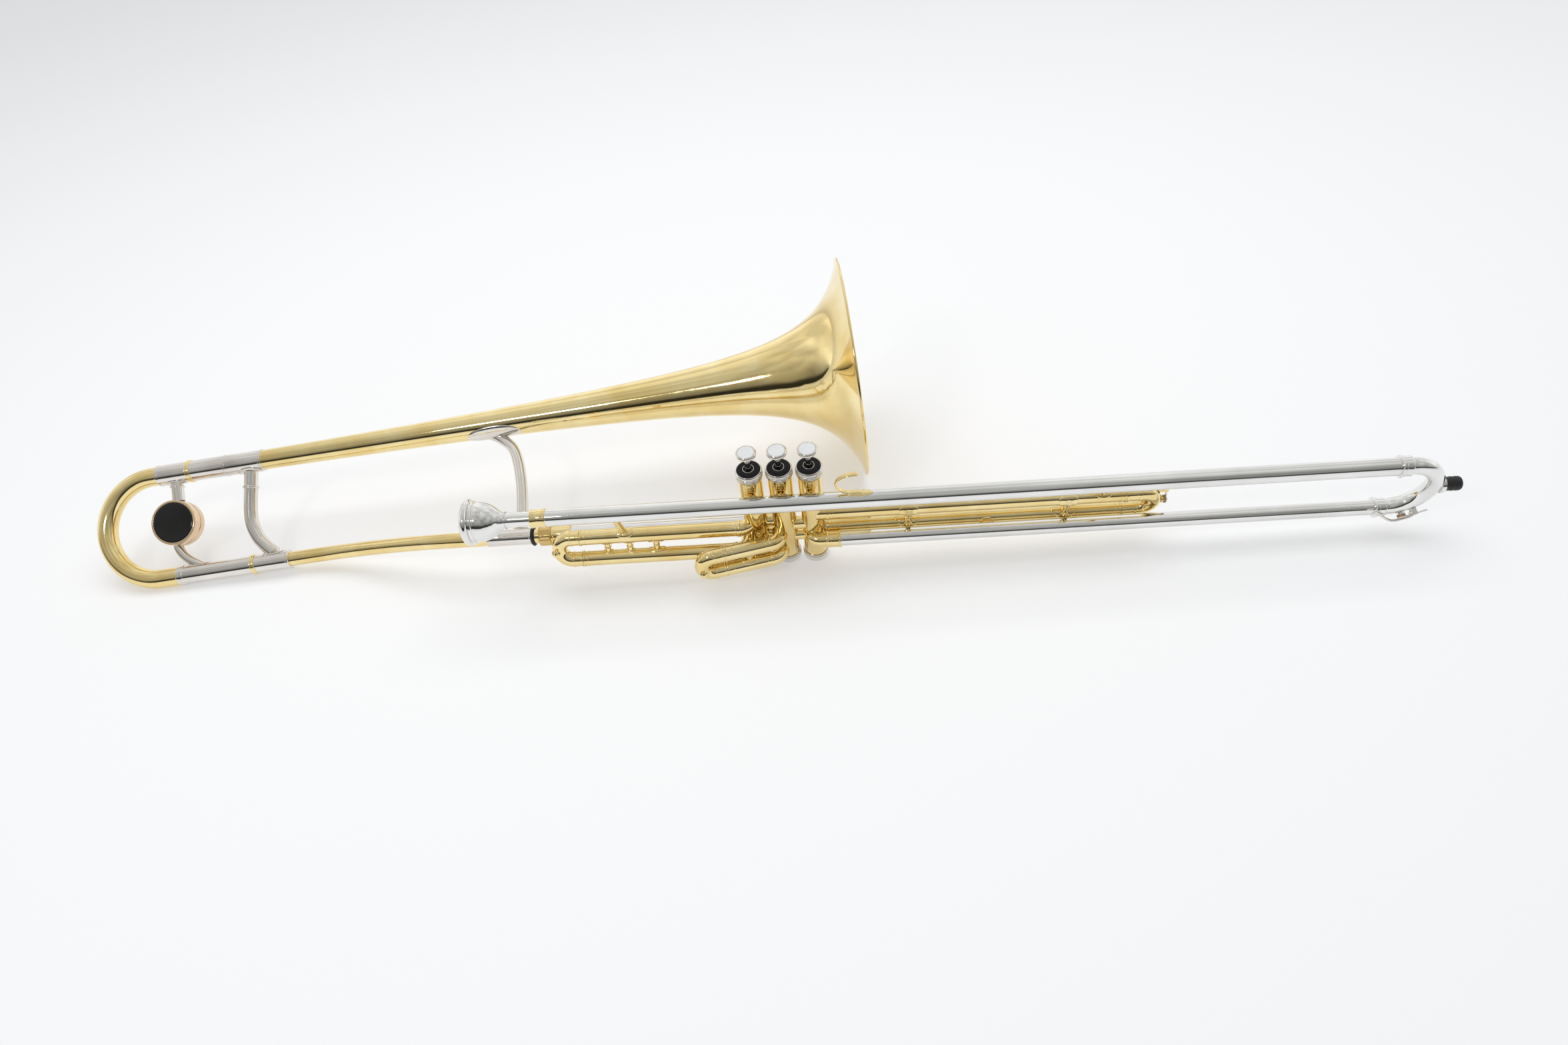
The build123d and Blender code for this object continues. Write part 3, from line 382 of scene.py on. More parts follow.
drawn = (25, 1500, 1500)
spun = (900, 30, 30)
finishes = {
    "lacquered_brass": plated(
        "lacquered_brass", (0.84, 0.63, 0.25), (0.94, 0.78, 0.41), 0.07, 0.08, 0.35, 0.05, drawn),
    "nickel": plated(
        "nickel", (0.72, 0.68, 0.63), (0.83, 0.795, 0.75), 0.07, 0.07, 0.0, 0.06, drawn),
    "silver_plate": plated(
        "silver_plate", (0.78, 0.775, 0.76), (0.87, 0.865, 0.85), 0.05, 0.05, 0.0, 0.03, drawn),
    "monel": plated(
        "monel", (0.44, 0.43, 0.41), (0.56, 0.55, 0.53), 0.28, 0.10, 0.0, 0.3, (1500, 1500, 20)),
    "spring_steel": plated(
        "spring_steel", (0.36, 0.36, 0.37), (0.50, 0.50, 0.51), 0.3, 0.1, 0.0, 0.2),
    "spring_brass": plated(
        "spring_brass", (0.62, 0.42, 0.16), (0.74, 0.52, 0.22), 0.25, 0.1, 0.0, 0.2),
    "weight_gold": plated(
        "weight_gold", (0.74, 0.53, 0.33), (0.84, 0.64, 0.43), 0.09, 0.10, 0.3, 0.06, spun),
    "bell_brass": plated(
        "bell_brass", (0.84, 0.64, 0.26), (0.94, 0.79, 0.42), 0.06, 0.08, 0.35, 0.04, spun),
    "satin_brass": plated(
        "satin_brass", (0.66, 0.44, 0.16), (0.76, 0.54, 0.22), 0.24, 0.08, 0.1, 0.10, drawn),
    "black_felt": felt(),
    "pearl": pearl(),
    "black_rubber": moulded(
        "black_rubber", (0.010, 0.010, 0.011), (0.020, 0.020, 0.021), 0.55, 1800.0, 0.25),
    "badge_black": moulded(
        "badge_black", (0.002, 0.002, 0.002), (0.004, 0.004, 0.004), 0.06, 700.0, 0.01, 0.0),
    "cork": cork(),
}
for row in frame["record"]["subparts"]:
    node = cad_nodes[row["node"]]
    node.data.materials.clear()
    node.data.materials.append(finishes[row["material_slot"]])


# Small forms shared by several pieces
def oval_plate(bm, centre, axis, toward, tube_r, length, width, thick=0.9, around=48):
    """Adds a softly edged oval plate hugging a tube, on the side that faces the given direction."""
    centre, axis = Vector(centre), Vector(axis).normalized()
    n = Vector(toward)
    n = (n - axis * n.dot(axis)).normalized()
    side = axis.cross(n)
    top = [(0.35, 1.0), (0.7, 0.97), (0.88, 0.88), (0.96, 0.70), (1.0, 0.40)]
    bottom = [(1.0, -0.25), (0.6, -0.25), (0.3, -0.25)]

    def at(rho, k, height):
        a = 2 * math.pi * k / around
        turn = rho * width / 2 * math.sin(a) / tube_r
        out = n * math.cos(turn) + side * math.sin(turn)
        return centre + axis * (rho * length / 2 * math.cos(a)) + out * (tube_r + thick * height)

    first = bm.verts.new(at(0.0, 0, 1.0))
    last = bm.verts.new(at(0.0, 0, -0.25))
    rings = [[bm.verts.new(at(rho, k, h)) for k in range(around)] for rho, h in top + bottom]
    for k in range(around):
        nxt = (k + 1) % around
        bm.faces.new((first, rings[0][k], rings[0][nxt]))
        bm.faces.new((last, rings[-1][nxt], rings[-1][k]))
        for a, b in zip(rings, rings[1:]):
            bm.faces.new((a[k], b[k], b[nxt], a[nxt]))


def bead(bm, centre, axis, bore_r, ring_r, width, around=64):
    """Adds a half-round ring bead round a tube, centred on a point of its axis."""
    outline = [(bore_r, -width / 2)]
    for k in range(9):
        a = math.pi * k / 8
        outline.append((bore_r + (ring_r - bore_r) * math.sin(a) ** 0.6, -width / 2 * math.cos(a)))
    outline.append((bore_r, width / 2))
    lathe(bm, outline, centre, axis, around=around)


def straight(a, b, steps=1):
    a, b = Vector(a), Vector(b)
    return [a.lerp(b, k / steps) for k in range(steps + 1)]


def post(bm, a, b, radius, around=32):
    sweep(bm, straight(a, b, 2), radius, around)


def brace_rod(bm, a, b, axis, tube_r, rod_r, length, width):
    """Adds a post between two tubes with its two oval plates and a small collar in the middle."""
    a, b = Vector(a), Vector(b)
    out = (b - a).normalized()
    post(bm, a + out * (tube_r - 0.4), b - out * (tube_r - 0.4), rod_r, 28)
    oval_plate(bm, a, axis, out, tube_r, length, width)
    oval_plate(bm, b, axis, -out, tube_r, length, width)
    bead(bm, (a + b) * 0.5, out, rod_r - 0.2, rod_r + 0.55, 1.6, 28)


def half_turn(p_up, p_low, back, run, steps=36):
    """A bow's centreline: straight run, half circle, straight run."""
    p_up, p_low, back = Vector(p_up), Vector(p_low), Vector(back).normalized()
    mid = (p_up + p_low) * 0.5
    line = [p_up - back * run] + arc(mid, p_up - mid, back * (p_up - p_low).length / 2, 0, 180, steps)
    return line + [p_low - back * run]


# Bell: spun flare with a rolled rim
def flare(s):
    return flare_c + flare_b / (flare_s0 + s) ** flare_a


def bell():
    stations = 84
    outer = [(bell_tail_d / 2, -bell_tail - 6), (bell_tail_d / 2, -bell_tail)]
    for k in range(1, stations + 1):
        s = 2.0 + (bell_tail - 2.0) * (1 - k / stations) ** 2.1
        outer.append((flare(s), -s))
    inner = [(bell_tail_d / 2 - bell_wall, outer[0][1])]
    for before, here, after in zip(outer, outer[1:], outer[2:] + [outer[-1]]):
        lean = Vector((after[0] - before[0], after[1] - before[1])).normalized()
        inner.append((here[0] - bell_wall * lean.y, here[1] + bell_wall * lean.x))
    rim = (Vector(outer[-1]) + Vector(inner[-1])) * 0.5
    lean = (Vector(outer[-1]) - Vector(outer[-2])).normalized()
    square = (Vector(outer[-1]) - Vector(inner[-1])).normalized()
    half = bell_wall / 2
    wire_r = (half * half + rim_bead * rim_bead) / (2 * rim_bead)
    opening = math.asin(half / wire_r)
    centre = rim + lean * (rim_bead - wire_r)
    roll = []
    for k in range(25):
        a = opening + (2 * math.pi - 2 * opening) * k / 24
        q = centre - lean * wire_r * math.cos(a) + square * wire_r * math.sin(a)
        roll.append((q.x, q.y))
    outline = outer[:-1] + roll + inner[-2::-1]
    bm = bmesh.new()
    lathe(bm, outline, bell_origin, bell_axis, around=224)
    dressed(finished("bell_flare", bm, 50), "body", finishes["bell_brass"], ["bell"])


# Tuning slide, its sleeves, braces and balance weight
upper_leg_d, upper_sleeve_d, upper_split = 17.0, 19.4, 628.1
lower_leg_d, lower_sleeve_d, lower_split, lower_sleeve_end = 15.0, 17.2, 576.4, 540.3
rear_bow_s, rear_bow_d = 664.0, 17.5
bow_up_end, bow_low_end = 653.0, 642.0
part_gap, run_clear = 0.3, 0.05


def tuning_slide():
    back = -bell_axis
    low_o = on_bell(0, leg_spread)
    bm = bmesh.new()
    up, low = on_bell(rear_bow_s), on_bell(rear_bow_s, leg_spread)
    line = [on_bell(bow_up_end)] + half_turn(up, low, back, 0.0, 72)[1:-1]
    line.append(on_bell(bow_low_end, leg_spread))
    sweep(bm, line, rear_bow_d / 2, 64)
    dressed(finished("rear_bow", bm), "tuning_slide", finishes["lacquered_brass"],
            ["tuning_bow"])

    ru, rb, rli = upper_sleeve_d / 2, rear_bow_d / 2, upper_leg_d / 2
    rw, rlj = lower_sleeve_d / 2, lower_leg_d / 2
    us, ls, e = upper_split, lower_split, lower_sleeve_end
    bm = bmesh.new()
    lathe(bm, eased([
        (rli - 0.8, 563.0), (rli, 563.0), (rli, us + part_gap), (ru - 0.1, us + part_gap), (ru, us + 0.8),
        (ru, 654.6), (ru + 0.3, 655.0), (ru + 0.3, 656.9), (ru - 0.2, 657.4), (rb - 0.1, 657.4),
        (rb - 0.1, bow_up_end), (rli - 0.8, bow_up_end)], 0.25), bell_origin, back)
    lathe(bm, eased([
        (rlj - 0.8, e + 7.6), (rlj, e + 7.6), (rlj, ls + part_gap), (rw - 0.1, ls + part_gap), (rw, ls + 0.8),
        (rw, 640.6), (rb + 0.6, 641.2), (rb + 0.6, 646.2), (rb + 0.2, 646.8), (rb - 0.1, 646.8),
        (rb - 0.1, bow_low_end), (rlj - 0.8, bow_low_end)], 0.25), low_o, back)
    dressed(finished("rear_sleeves", bm), "tuning_slide", finishes["nickel"], ["tuning_legs"])

    wc = on_bell(weight_s, weight_w)
    hw, rd, bd = weight_t / 2, weight_d / 2, badge_d / 2
    dressed(turned("weight_drum", [
        (0, -hw), (rd - 3.0, -hw), (rd - 0.8, -hw + 0.9), (rd, -hw + 3.0), (rd, -0.9), (rd - 0.6, -0.3),
        (rd - 0.6, 0.1), (rd, 0.7), (rd, hw - 1.8), (rd - 0.5, hw - 0.4), (rd - 1.2, hw), (bd + 0.25, hw - 0.1),
        (bd, hw - 0.5), (bd, hw - 1.2), (0, hw - 1.2)], wc, bell_normal, soft=0.35, around=128),
        "tuning_slide", finishes["weight_gold"], ["balance_weight"])
    crown = [(0, hw - 1.2), (bd, hw - 1.2)]
    for k in range(9):
        a = math.pi / 2 * k / 8
        crown.append((bd - 1.6 + 1.6 * math.cos(a), hw - 0.9 + 0.75 * math.sin(a)))
    crown += [(bd * 0.6, hw + 0.05), (0, hw + 0.18)]
    dressed(turned("weight_face", crown, wc, bell_normal, soft=0, around=128),
            "tuning_slide", finishes["badge_black"], ["weight_badge"])

    bm = bmesh.new()
    post(bm, on_bell(641.5, ru - 0.5), on_bell(641.5, weight_w - rd + 0.6), 5.5, 40)
    bead(bm, on_bell(641.5, 12.9), slide_dir, 5.4, 6.6, 2.0, 40)
    oval_plate(bm, on_bell(641.5), bell_axis, slide_dir, ru, 20.0, 14.0)
    arm = curved([on_bell(s, w) for s, w in ((646.6, 60.0), (645.9, 69.0), (642.6, 76.0), (636.4, 82.6),
                                             (629.0, 87.4), (624.0, 90.1))], 8)
    sweep(bm, [p for p in arm if (p - wc).length > rd - 1.0], 4.3, 40)
    oval_plate(bm, on_bell(627.0, leg_spread), bell_axis, -slide_dir, rw, 22.0, 13.0)
    dressed(finished("weight_posts", bm), "tuning_slide", finishes["nickel"], ["weight_braces"])


def bell_sleeves():
    back = -bell_axis
    ru, rul = upper_sleeve_d / 2, upper_leg_d / 2 + run_clear
    rw, rwl = lower_sleeve_d / 2, lower_leg_d / 2 + run_clear
    us, ls, e = upper_split, lower_split, lower_sleeve_end
    tail_r, low_o = bell_tail_d / 2, on_bell(0, leg_spread)
    bm = bmesh.new()
    lathe(bm, eased([
        (rul, us - 3.8), (ru, us - 3.8), (ru, 592.5), (ru + 0.4, 592.2), (ru + 0.4, 590.6), (ru, 590.3),
        (ru, bell_tail + 2.3), (ru + 0.35, bell_tail + 2.0), (ru + 0.35, bell_tail + 0.3),
        (ru - 0.2, bell_tail), (tail_r - 0.1, bell_tail), (tail_r - 0.1, bell_tail + 6),
        (rul, bell_tail + 6)], 0.2), bell_origin, back)
    lathe(bm, eased([
        (rwl, ls - 3.8), (rw, ls - 3.8), (rw, e + 2.6), (rw + 0.35, e + 2.2), (rw + 0.35, e + 0.6),
        (rw - 0.6, e), (neck_d / 2 - 0.1, e), (neck_d / 2 - 0.1, e + 7), (rwl, e + 7)], 0.2), low_o, back)
    dressed(finished("front_sleeves", bm), "body", finishes["nickel"], ["bell_sleeves"])

    bm = bmesh.new()
    for r, bore, s, o in ((ru, rul, us, bell_origin), (rw, rwl, ls, low_o)):
        lathe(bm, eased([
            (bore, s), (r + 0.4, s), (r + 0.9, s - 0.4), (r + 0.9, s - 1.3), (r + 0.35, s - 1.9),
            (r + 0.75, s - 2.5), (r + 0.6, s - 3.4), (r + 0.1, s - 3.8), (bore, s - 3.8)], 0.3), o, back)
    dressed(finished("sleeve_beads", bm), "body", finishes["lacquered_brass"],
            ["sleeve_rings"])

    bm = bmesh.new()
    foot, knee = on_bell(569.0, 3.0), on_bell(573.9, 44.0)
    rise = (knee - foot).normalized()
    line = curved([foot + rise * 6.4, foot + rise * 24.0, knee] + [on_bell(s, w) for s, w in (
        (573.6, 59.0), (569.0, 72.3), (562.2, 81.4), (555.6, 88.0))], 9)
    sweep(bm, line, 6.2, 48)
    bead(bm, foot + rise * 21.0, rise, 6.0, 7.3, 2.8, 48)
    oval_plate(bm, on_bell(569.5), bell_axis, slide_dir, ru, 24.0, 17.0)
    oval_plate(bm, on_bell(555.8, leg_spread), bell_axis, -slide_dir, rw, 22.0, 14.0)
    dressed(finished("rear_strut", bm), "body", finishes["nickel"], ["rear_brace"])


# Neck, slide lock and long brace
neck_d = 13.4
neck_sleeve_x0, neck_sleeve_x1 = -261.0, -222.0
long_brace_s, long_plate_lean = 335.0, 32.0
nut_x0, nut_x1, thread_r = -215.0, -204.0, 8.0


def hermite(a, b, ta, tb, steps=48):
    """A smooth line between two points with given end directions scaled to the span."""
    a, b = Vector(a), Vector(b)
    span = (b - a).length
    ta, tb = Vector(ta).normalized() * span, Vector(tb).normalized() * span
    out = []
    for k in range(steps + 1):
        t = k / steps
        out.append(a * (2 * t ** 3 - 3 * t * t + 1) + ta * (t ** 3 - 2 * t * t + t)
                   + b * (3 * t * t - 2 * t ** 3) + tb * (t ** 3 - t * t))
    return out


def neck():
    e = lower_sleeve_end
    lock_line = Vector((0, lock_y, lock_z))
    bm = bmesh.new()
    line = [on_bell(e + 6.0, leg_spread)]
    line += hermite(on_bell(e - 8.0, leg_spread), (neck_sleeve_x0 - 6.0, lock_y, lock_z), bell_axis, X)
    line.append(Vector((-206.5, lock_y, lock_z)))
    sweep(bm, line, neck_d / 2, 56)
    dressed(finished("neck_tube", bm), "body", finishes["lacquered_brass"], ["neck_pipe"])

    rl = lock_d / 2
    x0, x1 = neck_sleeve_x0, neck_sleeve_x1
    dressed(turned("neck_band", [
        (rl - 0.05, x0), (rl + 0.7, x0), (rl + 1.0, x0 + 0.5), (rl + 0.9, x0 + 1.4), (rl + 0.6, x0 + 1.8),
        (rl + 0.6, x1 - 1.8), (rl + 0.9, x1 - 1.4), (rl + 1.0, x1 - 0.5), (rl + 0.7, x1), (rl - 0.05, x1)],
        lock_line, X, soft=0.25), "body", finishes["nickel"], ["neck_sleeve"])
    ring = [(rl + 0.9 + 1.15 * math.cos(a), -220.45 + 1.15 * math.sin(a))
            for a in [2 * math.pi * k / 20 for k in range(20)]]
    dressed(turned("lock_ring", ring, lock_line, X, soft=0), "body", finishes["black_rubber"],
            ["lock_washer"])
    bore, wide = neck_d / 2 + run_clear, thread_r + run_clear
    dressed(turned("lock_nut_grip", [
        (bore, nut_x0), (8.6, nut_x0), (9.2, nut_x0 + 0.7), (9.3, nut_x0 + 1.6), (9.3, nut_x1 - 1.6),
        (9.2, nut_x1 - 0.7), (8.6, nut_x1), (wide, nut_x1), (wide, nut_x0 + 3.0), (bore, nut_x0 + 3.0)],
        lock_line, X, soft=0.3, around=360, teeth=10, depth=0.35, band=(nut_x0 + 1.0, nut_x1 - 1.0, 9.0)),
        "lock_nut", finishes["satin_brass"], ["lock_nut"])
    dressed(turned("lock_collar", [
        (rl - 0.02, -211.6), (thread_r, -211.6), (thread_r, nut_x1 + part_gap), (rl + 1.3, nut_x1 + part_gap),
        (rl + 1.4, -203.0), (rl + 0.9, -201.8), (rl + 0.9, -189.2), (rl + 1.3, -188.7), (rl + 1.3, -187.4),
        (rl + 0.8, -186.8), (rl - 0.02, -186.8)], lock_line, X, soft=0.25),
        "body", finishes["lacquered_brass"], ["lock_ferrule"])

    bm = bmesh.new()
    long_line = curved([
        on_bell(346.5, 6.0), (-263.3, 112.1, 55.1), (-249.9, 99.9, 53.2), (-242.6, 82.5, 50.4),
        (-237.3, 59.0, 46.8), (-234.2, 36.0, 43.2), (-233.1, lock_y + rl + 0.2, lock_z + 1.2)], 9)
    sweep(bm, long_line, 5.2, 44)
    oval_plate(bm, (-233.0, lock_y, lock_z), X, (0, 1, 0.1), rl + 0.6, 16.0, 12.0)
    lean = math.radians(long_plate_lean)
    facing = slide_dir * math.cos(lean) + bell_normal * math.sin(lean)
    oval_plate(bm, on_bell(long_brace_s), bell_axis, facing, flare(long_brace_s) + 0.35, 50.0, 18.0, 0.9, 64)
    dressed(finished("long_strut", bm), "body", finishes["nickel"], ["bell_brace"])


# Mouthpiece, receiver and long silver tubes
def mouthpiece():
    rs, rc = shank_d / 2, cup_rim_d / 2
    outside = curved([
        (17.0, 0.25), (rc - 1.3, 1.3), (rc - 0.2, 3.0), (rc, 4.2), (rc - 0.35, 5.4), (rc - 1.5, 6.4)], 5)
    step = [Vector(q) for q in (
        (rc - 3.0, 6.7), (rc - 3.1, 7.5), (rc - 1.9, 7.9), (rc - 1.6, 8.7), (rc - 1.9, 9.5), (rc - 3.0, 9.9),
        (rc - 3.1, 10.4))]
    bowl = curved([(rc - 2.7, 11.2), (rc - 2.9, 14.0), (rc - 3.7, 18.0), (rc - 5.4, 22.2), (rc - 7.8, 26.0),
                   (rc - 10.4, 28.8), (rs + 1.3, 31.0), (rs + 0.5, 33.0)], 5)
    collar = curved([(rs + 0.9, 33.6), (rs + 1.0, 34.4), (rs + 0.1, 35.2), (rs, 60.0), (rs - 0.9, 78.0)], 4)
    throat = curved([
        (rs - 1.7, 78.0), (4.6, 60.0), (3.3, 32.0), (3.2, 28.5), (5.0, 23.5), (9.0, 16.5), (11.4, 8.5),
        (12.3, 3.0), (13.2, 1.0), (15.2, 0.1)], 5)
    outline = [tuple(p) for p in outside + step + bowl + collar + throat]
    obj = turned("mouthpiece_turned", outline, (cup_x, mouthpipe_y, mouthpipe_z), X, soft=0, sharp=50,
                 around=144)
    dressed(obj, "mouthpiece", finishes["silver_plate"], ["mouthpiece"])


def receiver():
    rm, rq = mouthpipe_d / 2, shank_d / 2 + run_clear
    waist = curved([(rm + 0.5, 1.2), (rm + 0.35, 2.6), (rm + 0.1, 5.4), (rm + 0.15, 8.2), (rm + 0.45, 10.8)], 5)
    outline = [(rq, 0), (rm + 0.2, 0), (rm + 0.65, 0.4)] + [tuple(p) for p in waist]
    outline += [(rm + 0.65, 11.5), (rm + 0.6, 12.6), (rm + 0.3, 13.0), (rm - 0.02, 13.0)]
    outline += [(rm - 0.02, 5.0), (rq, 5.0)]
    dressed(turned("receiver_collar", outline, (receiver_x0, mouthpipe_y, mouthpipe_z), X, soft=0.2),
            "body", finishes["lacquered_brass"], ["mouthpiece_receiver"])


# Valves
def valves():
    for i, x in enumerate((-valve_pitch, 0.0, valve_pitch)):
        n = i + 1
        rc, ro, rf, rg, rs = casing_od / 2, cap_od / 2, felt_od / 2, guide_od / 2, stem_d / 2 + run_clear
        z0, z1 = top_cap_z1 - top_cap_h, top_cap_z1
        dressed(turned(f"top_cap_{n}", [
            (rs + 0.4, z1 - 5.3), (rc - 0.02, z1 - 5.3), (rc - 0.02, z0), (ro - 0.7, z0), (ro - 0.2, z0 + 0.4),
            (ro, z0 + 1.0), (ro, z0 + 3.0), (ro - 0.2, z0 + 3.4), (ro - 0.7, z0 + 3.7), (ro - 0.7, z0 + 4.2),
            (ro - 0.2, z0 + 4.7), (ro - 0.1, z0 + 5.4), (ro - 0.4, z1 - 0.9), (ro - 0.9, z1 - 0.2),
            (rf + 0.5, z1), (rf, z1 - 0.5), (rf, felt_z0), (rg, felt_z0), (rg, guide_top - 0.35),
            (rg - 0.2, guide_top - 0.05),
            (rg - 0.45, guide_top - 0.05), (rg - 0.6, guide_top - 0.4), (rg - 0.6, felt_z0 - 0.3),
            (rs + 0.4, felt_z0 - 0.3)], (x, 0, 0), Z, soft=0.2, around=360, teeth=90, depth=0.14,
            band=(z0 + 0.9, z0 + 3.1, ro - 0.2)),
            "body", finishes["nickel"], ["top_caps"])
        h = bottom_cap_h
        dressed(turned(f"bottom_cap_{n}", [
            (0, 0), (ro - 1.8, 0), (ro - 0.5, 0.8), (ro, 2.2), (ro, h - 2.2), (ro - 0.45, h - 1.7),
            (ro - 0.45, h - 1.1), (ro - 0.1, h - 0.6), (ro - 0.5, h), (rc - 0.02, h), (rc - 0.02, 2.5),
            (0, 2.5)], (x, 0, 0), Z, soft=0.3, around=288, teeth=72, depth=0.2,
            band=(2.4, h - 2.3, ro - 0.2)),
            "body", finishes["nickel"], ["bottom_caps"])
        top = felt_z1
        bm = bmesh.new()
        lathe(bm, eased([
            (rg, felt_z0), (rf - 0.05, felt_z0), (rf - 0.05, top - 0.6), (rf - 0.4, top - 0.15),
            (rf - 1.2, top), (rg + 0.8, top), (rg + 0.1, top - 0.2)], 0.3), (x, 0, 0), Z)
        lathe(bm, eased([
            (rs + 0.45, felt_z0 - 0.25), (rg - 0.65, felt_z0 - 0.25), (rg - 0.65, top - 0.9),
            (rg - 0.9, top - 0.7), (rs + 0.6, top - 0.8)], 0.2), (x, 0, 0), Z)
        dressed(finished(f"felt_{n}", bm), "body", finishes["black_felt"], ["cap_felts"])
        dressed(turned(f"stem_{n}", [
            (0, 108.0), (stem_d / 2 + 0.06, 108.0), (stem_d / 2 + 0.06, 128.7), (stem_d / 2 + 0.7, 129.3),
            (stem_d / 2 + 0.7, 129.7), (0, 129.7)], (x, 0, 0), Z, soft=0.2),
            f"valve_{n}", finishes["nickel"])
        rb, ri, s = button_d / 2, inlay_d / 2, stem_d / 2
        b0, b1 = button_z0, button_z1
        dressed(turned(f"button_{n}", [
            (0, b0 + 1.2), (s, b0 + 1.2), (s, b0), (s + 1.2, b0), (s + 2.2, b0 + 0.35), (rb - 1.1, b0 + 0.5),
            (rb - 0.2, b0 + 1.2), (rb, b0 + 2.0), (rb - 0.15, b1 - 1.1), (rb - 0.7, b1 - 0.4), (ri + 0.35, b1),
            (ri + 0.02, b1 - 0.2), (ri + 0.02, b1 - 1.4), (0, b1 - 1.4)], (x, 0, 0), Z, soft=0.35, around=112),
            f"valve_{n}", finishes["nickel"], [f"valve_button_{n}"])
        dome = [(0, b1 - 1.4), (ri - 0.03, b1 - 1.4), (ri - 0.03, b1 - 0.25), (ri - 0.4, b1 + 0.05)]
        dome += [(ri * t, b1 + 0.2 - 0.13 * t * t) for t in (0.85, 0.6, 0.3)] + [(0, b1 + 0.2)]
        dressed(turned(f"pearl_{n}", dome, (x, 0, 0), Z, soft=0.1, around=96),
                f"valve_{n}", finishes["pearl"], [f"button_inlay_{n}"])


# Coil springs below the pistons, at their length with the valves up
spring_d, spring_wire, spring_foot, spring_turns = 12.0, 0.9, 2.2, 6
piston_z0, valve_stroke = 26.0, 14.5


def valve_springs():
    w = spring_wire / 2
    high = piston_z0 - spring_foot - spring_wire
    r, around = spring_d / 2, 32
    steps = spring_turns * around
    for i, x in enumerate((-valve_pitch, 0.0, valve_pitch)):
        line = []
        for k in range(steps + 1):
            a = 2 * math.pi * k / around
            line.append(Vector((x + r * math.cos(a), r * math.sin(a), spring_foot + w + high * k / steps)))
        bm = bmesh.new()
        sweep(bm, line, w, 14)
        coil = dressed(finished(f"coil_{i + 1}", bm), "body", finishes["spring_steel"],
                       [f"valve_spring_{i + 1}"])
        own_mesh(coil)


# Finger hook, crook bumper
def hook():
    top = mouthpipe_z + mouthpipe_d / 2
    y = mouthpipe_y
    line = curved([(66.0, y, top + 1.4), (56.0, y, top + 1.6), (49.6, y, top + 4.4), (45.9, y, top + 9.2),
                   (45.6, y, top + 14.6), (48.8, y, top + 19.2), (54.4, y, top + 22.2), (60.0, y, top + 23.0),
                   (63.6, y, top + 22.8)], 9)
    bm = bmesh.new()
    sweep(bm, line, lambda t: 2.3 * min(1.0, 0.35 + 14 * (1 - t), 0.6 + 30 * t), 36, flat=0.42, up=Y)
    oval_plate(bm, (64.0, y, mouthpipe_z), X, Z, mouthpipe_d / 2, 22.0, 6.6, 1.2)
    dressed(finished("hook_loop", bm), "body", finishes["lacquered_brass"], ["finger_hook"])


def bumper():
    crook_r = Vector((0, mouthpipe_y - lower_y, mouthpipe_z - lower_z)).length / 2
    mid = Vector((crook_x, (mouthpipe_y + lower_y) / 2, (mouthpipe_z + lower_z) / 2))
    base = mid + X * (crook_r + crook_d / 2 + 0.8)
    dressed(turned("end_bumper", [
        (0, 0), (5.4, 0), (5.8, 0.8), (5.8, 3.0), (5.4, 3.5), (5.4, 4.3), (5.8, 4.8), (5.9, 7.0), (5.5, 7.5),
        (5.5, 8.3), (5.9, 8.8), (5.9, 11.8), (5.3, 13.3), (4.2, 13.9), (0, 13.9)], base, X, soft=0.5),
        "body", finishes["black_rubber"], ["bumper"])


# Pulling slides of the valves: bows, beads and pull knobs
slide_od, ring_od = 13.1, 14.1
s1_up, s1_low, s1_out, s1_bow = (-8.0, 48.8), (-15.2, 28.9), -175.8, -185.0
s2_up_z, s2_low_z, s2_yaw, s2_start, s2_len, s2_bow = 39.7, 19.4, 12.2, (-12.0, -19.0), 41.4, 51.5
s1_knob_turn, s1_knob_out = 12.0, (-0.30, -0.72, 0.62)
s2_knob_turn, s2_knob_out = 38.0, (-0.15, -0.85, 0.45)
s1_braces = ((-153.6, 9.5, 7.5), (-134.4, 9.5, 7.5), (-111.3, 15.0, 9.5))
s2_brace_at = 20.5
s3_braces, s3_brace_faces, s3_brace_ends = (104.5, 236.3), (17.0, 52.0), (22.0, 46.0)
stay_pipe_x, stay_slide_x = -139.6, -136.5
s3_up, s3_low, s3_bow = (-4.0, 59.2), (1.0, 34.6), 296.5


def pull_knob(bm, centre, out, r):
    """Adds a small turned knob with a notched head."""
    out = Vector(out).normalized()
    lathe(bm, eased([
        (0, 1), (3.4, 1), (3.4, r + 0.5), (2.5, r + 0.9), (1.9, r + 1.6), (2.6, r + 2.3), (3.0, r + 2.8),
        (3.0, r + 3.5), (2.3, r + 4.1), (1.2, r + 4.3), (0.7, r + 4.65), (0, r + 4.7)], 0.25),
        centre, out, around=120, teeth=6, depth=0.55, band=(r + 2.4, r + 3.9, 2.2))


def pulling_bow(name, body, node, p_up, p_low, way, reach, knob_at, knob_out):
    way = Vector(way).normalized()
    p_up, p_low = Vector(p_up), Vector(p_low)
    bm = bmesh.new()
    sweep(bm, half_turn(p_up, p_low, way, reach, 48), slide_od / 2, 56)
    for p in (p_up, p_low):
        bead(bm, p - way * (reach - 0.7), way, slide_od / 2 - 0.1, ring_od / 2, 1.4)
        bead(bm, p - way * 1.0, way, slide_od / 2 - 0.1, ring_od / 2, 1.5)
    if knob_at is not None:
        pull_knob(bm, knob_at, knob_out, slide_od / 2)
    dressed(finished(name, bm), body, finishes["lacquered_brass"], [node])


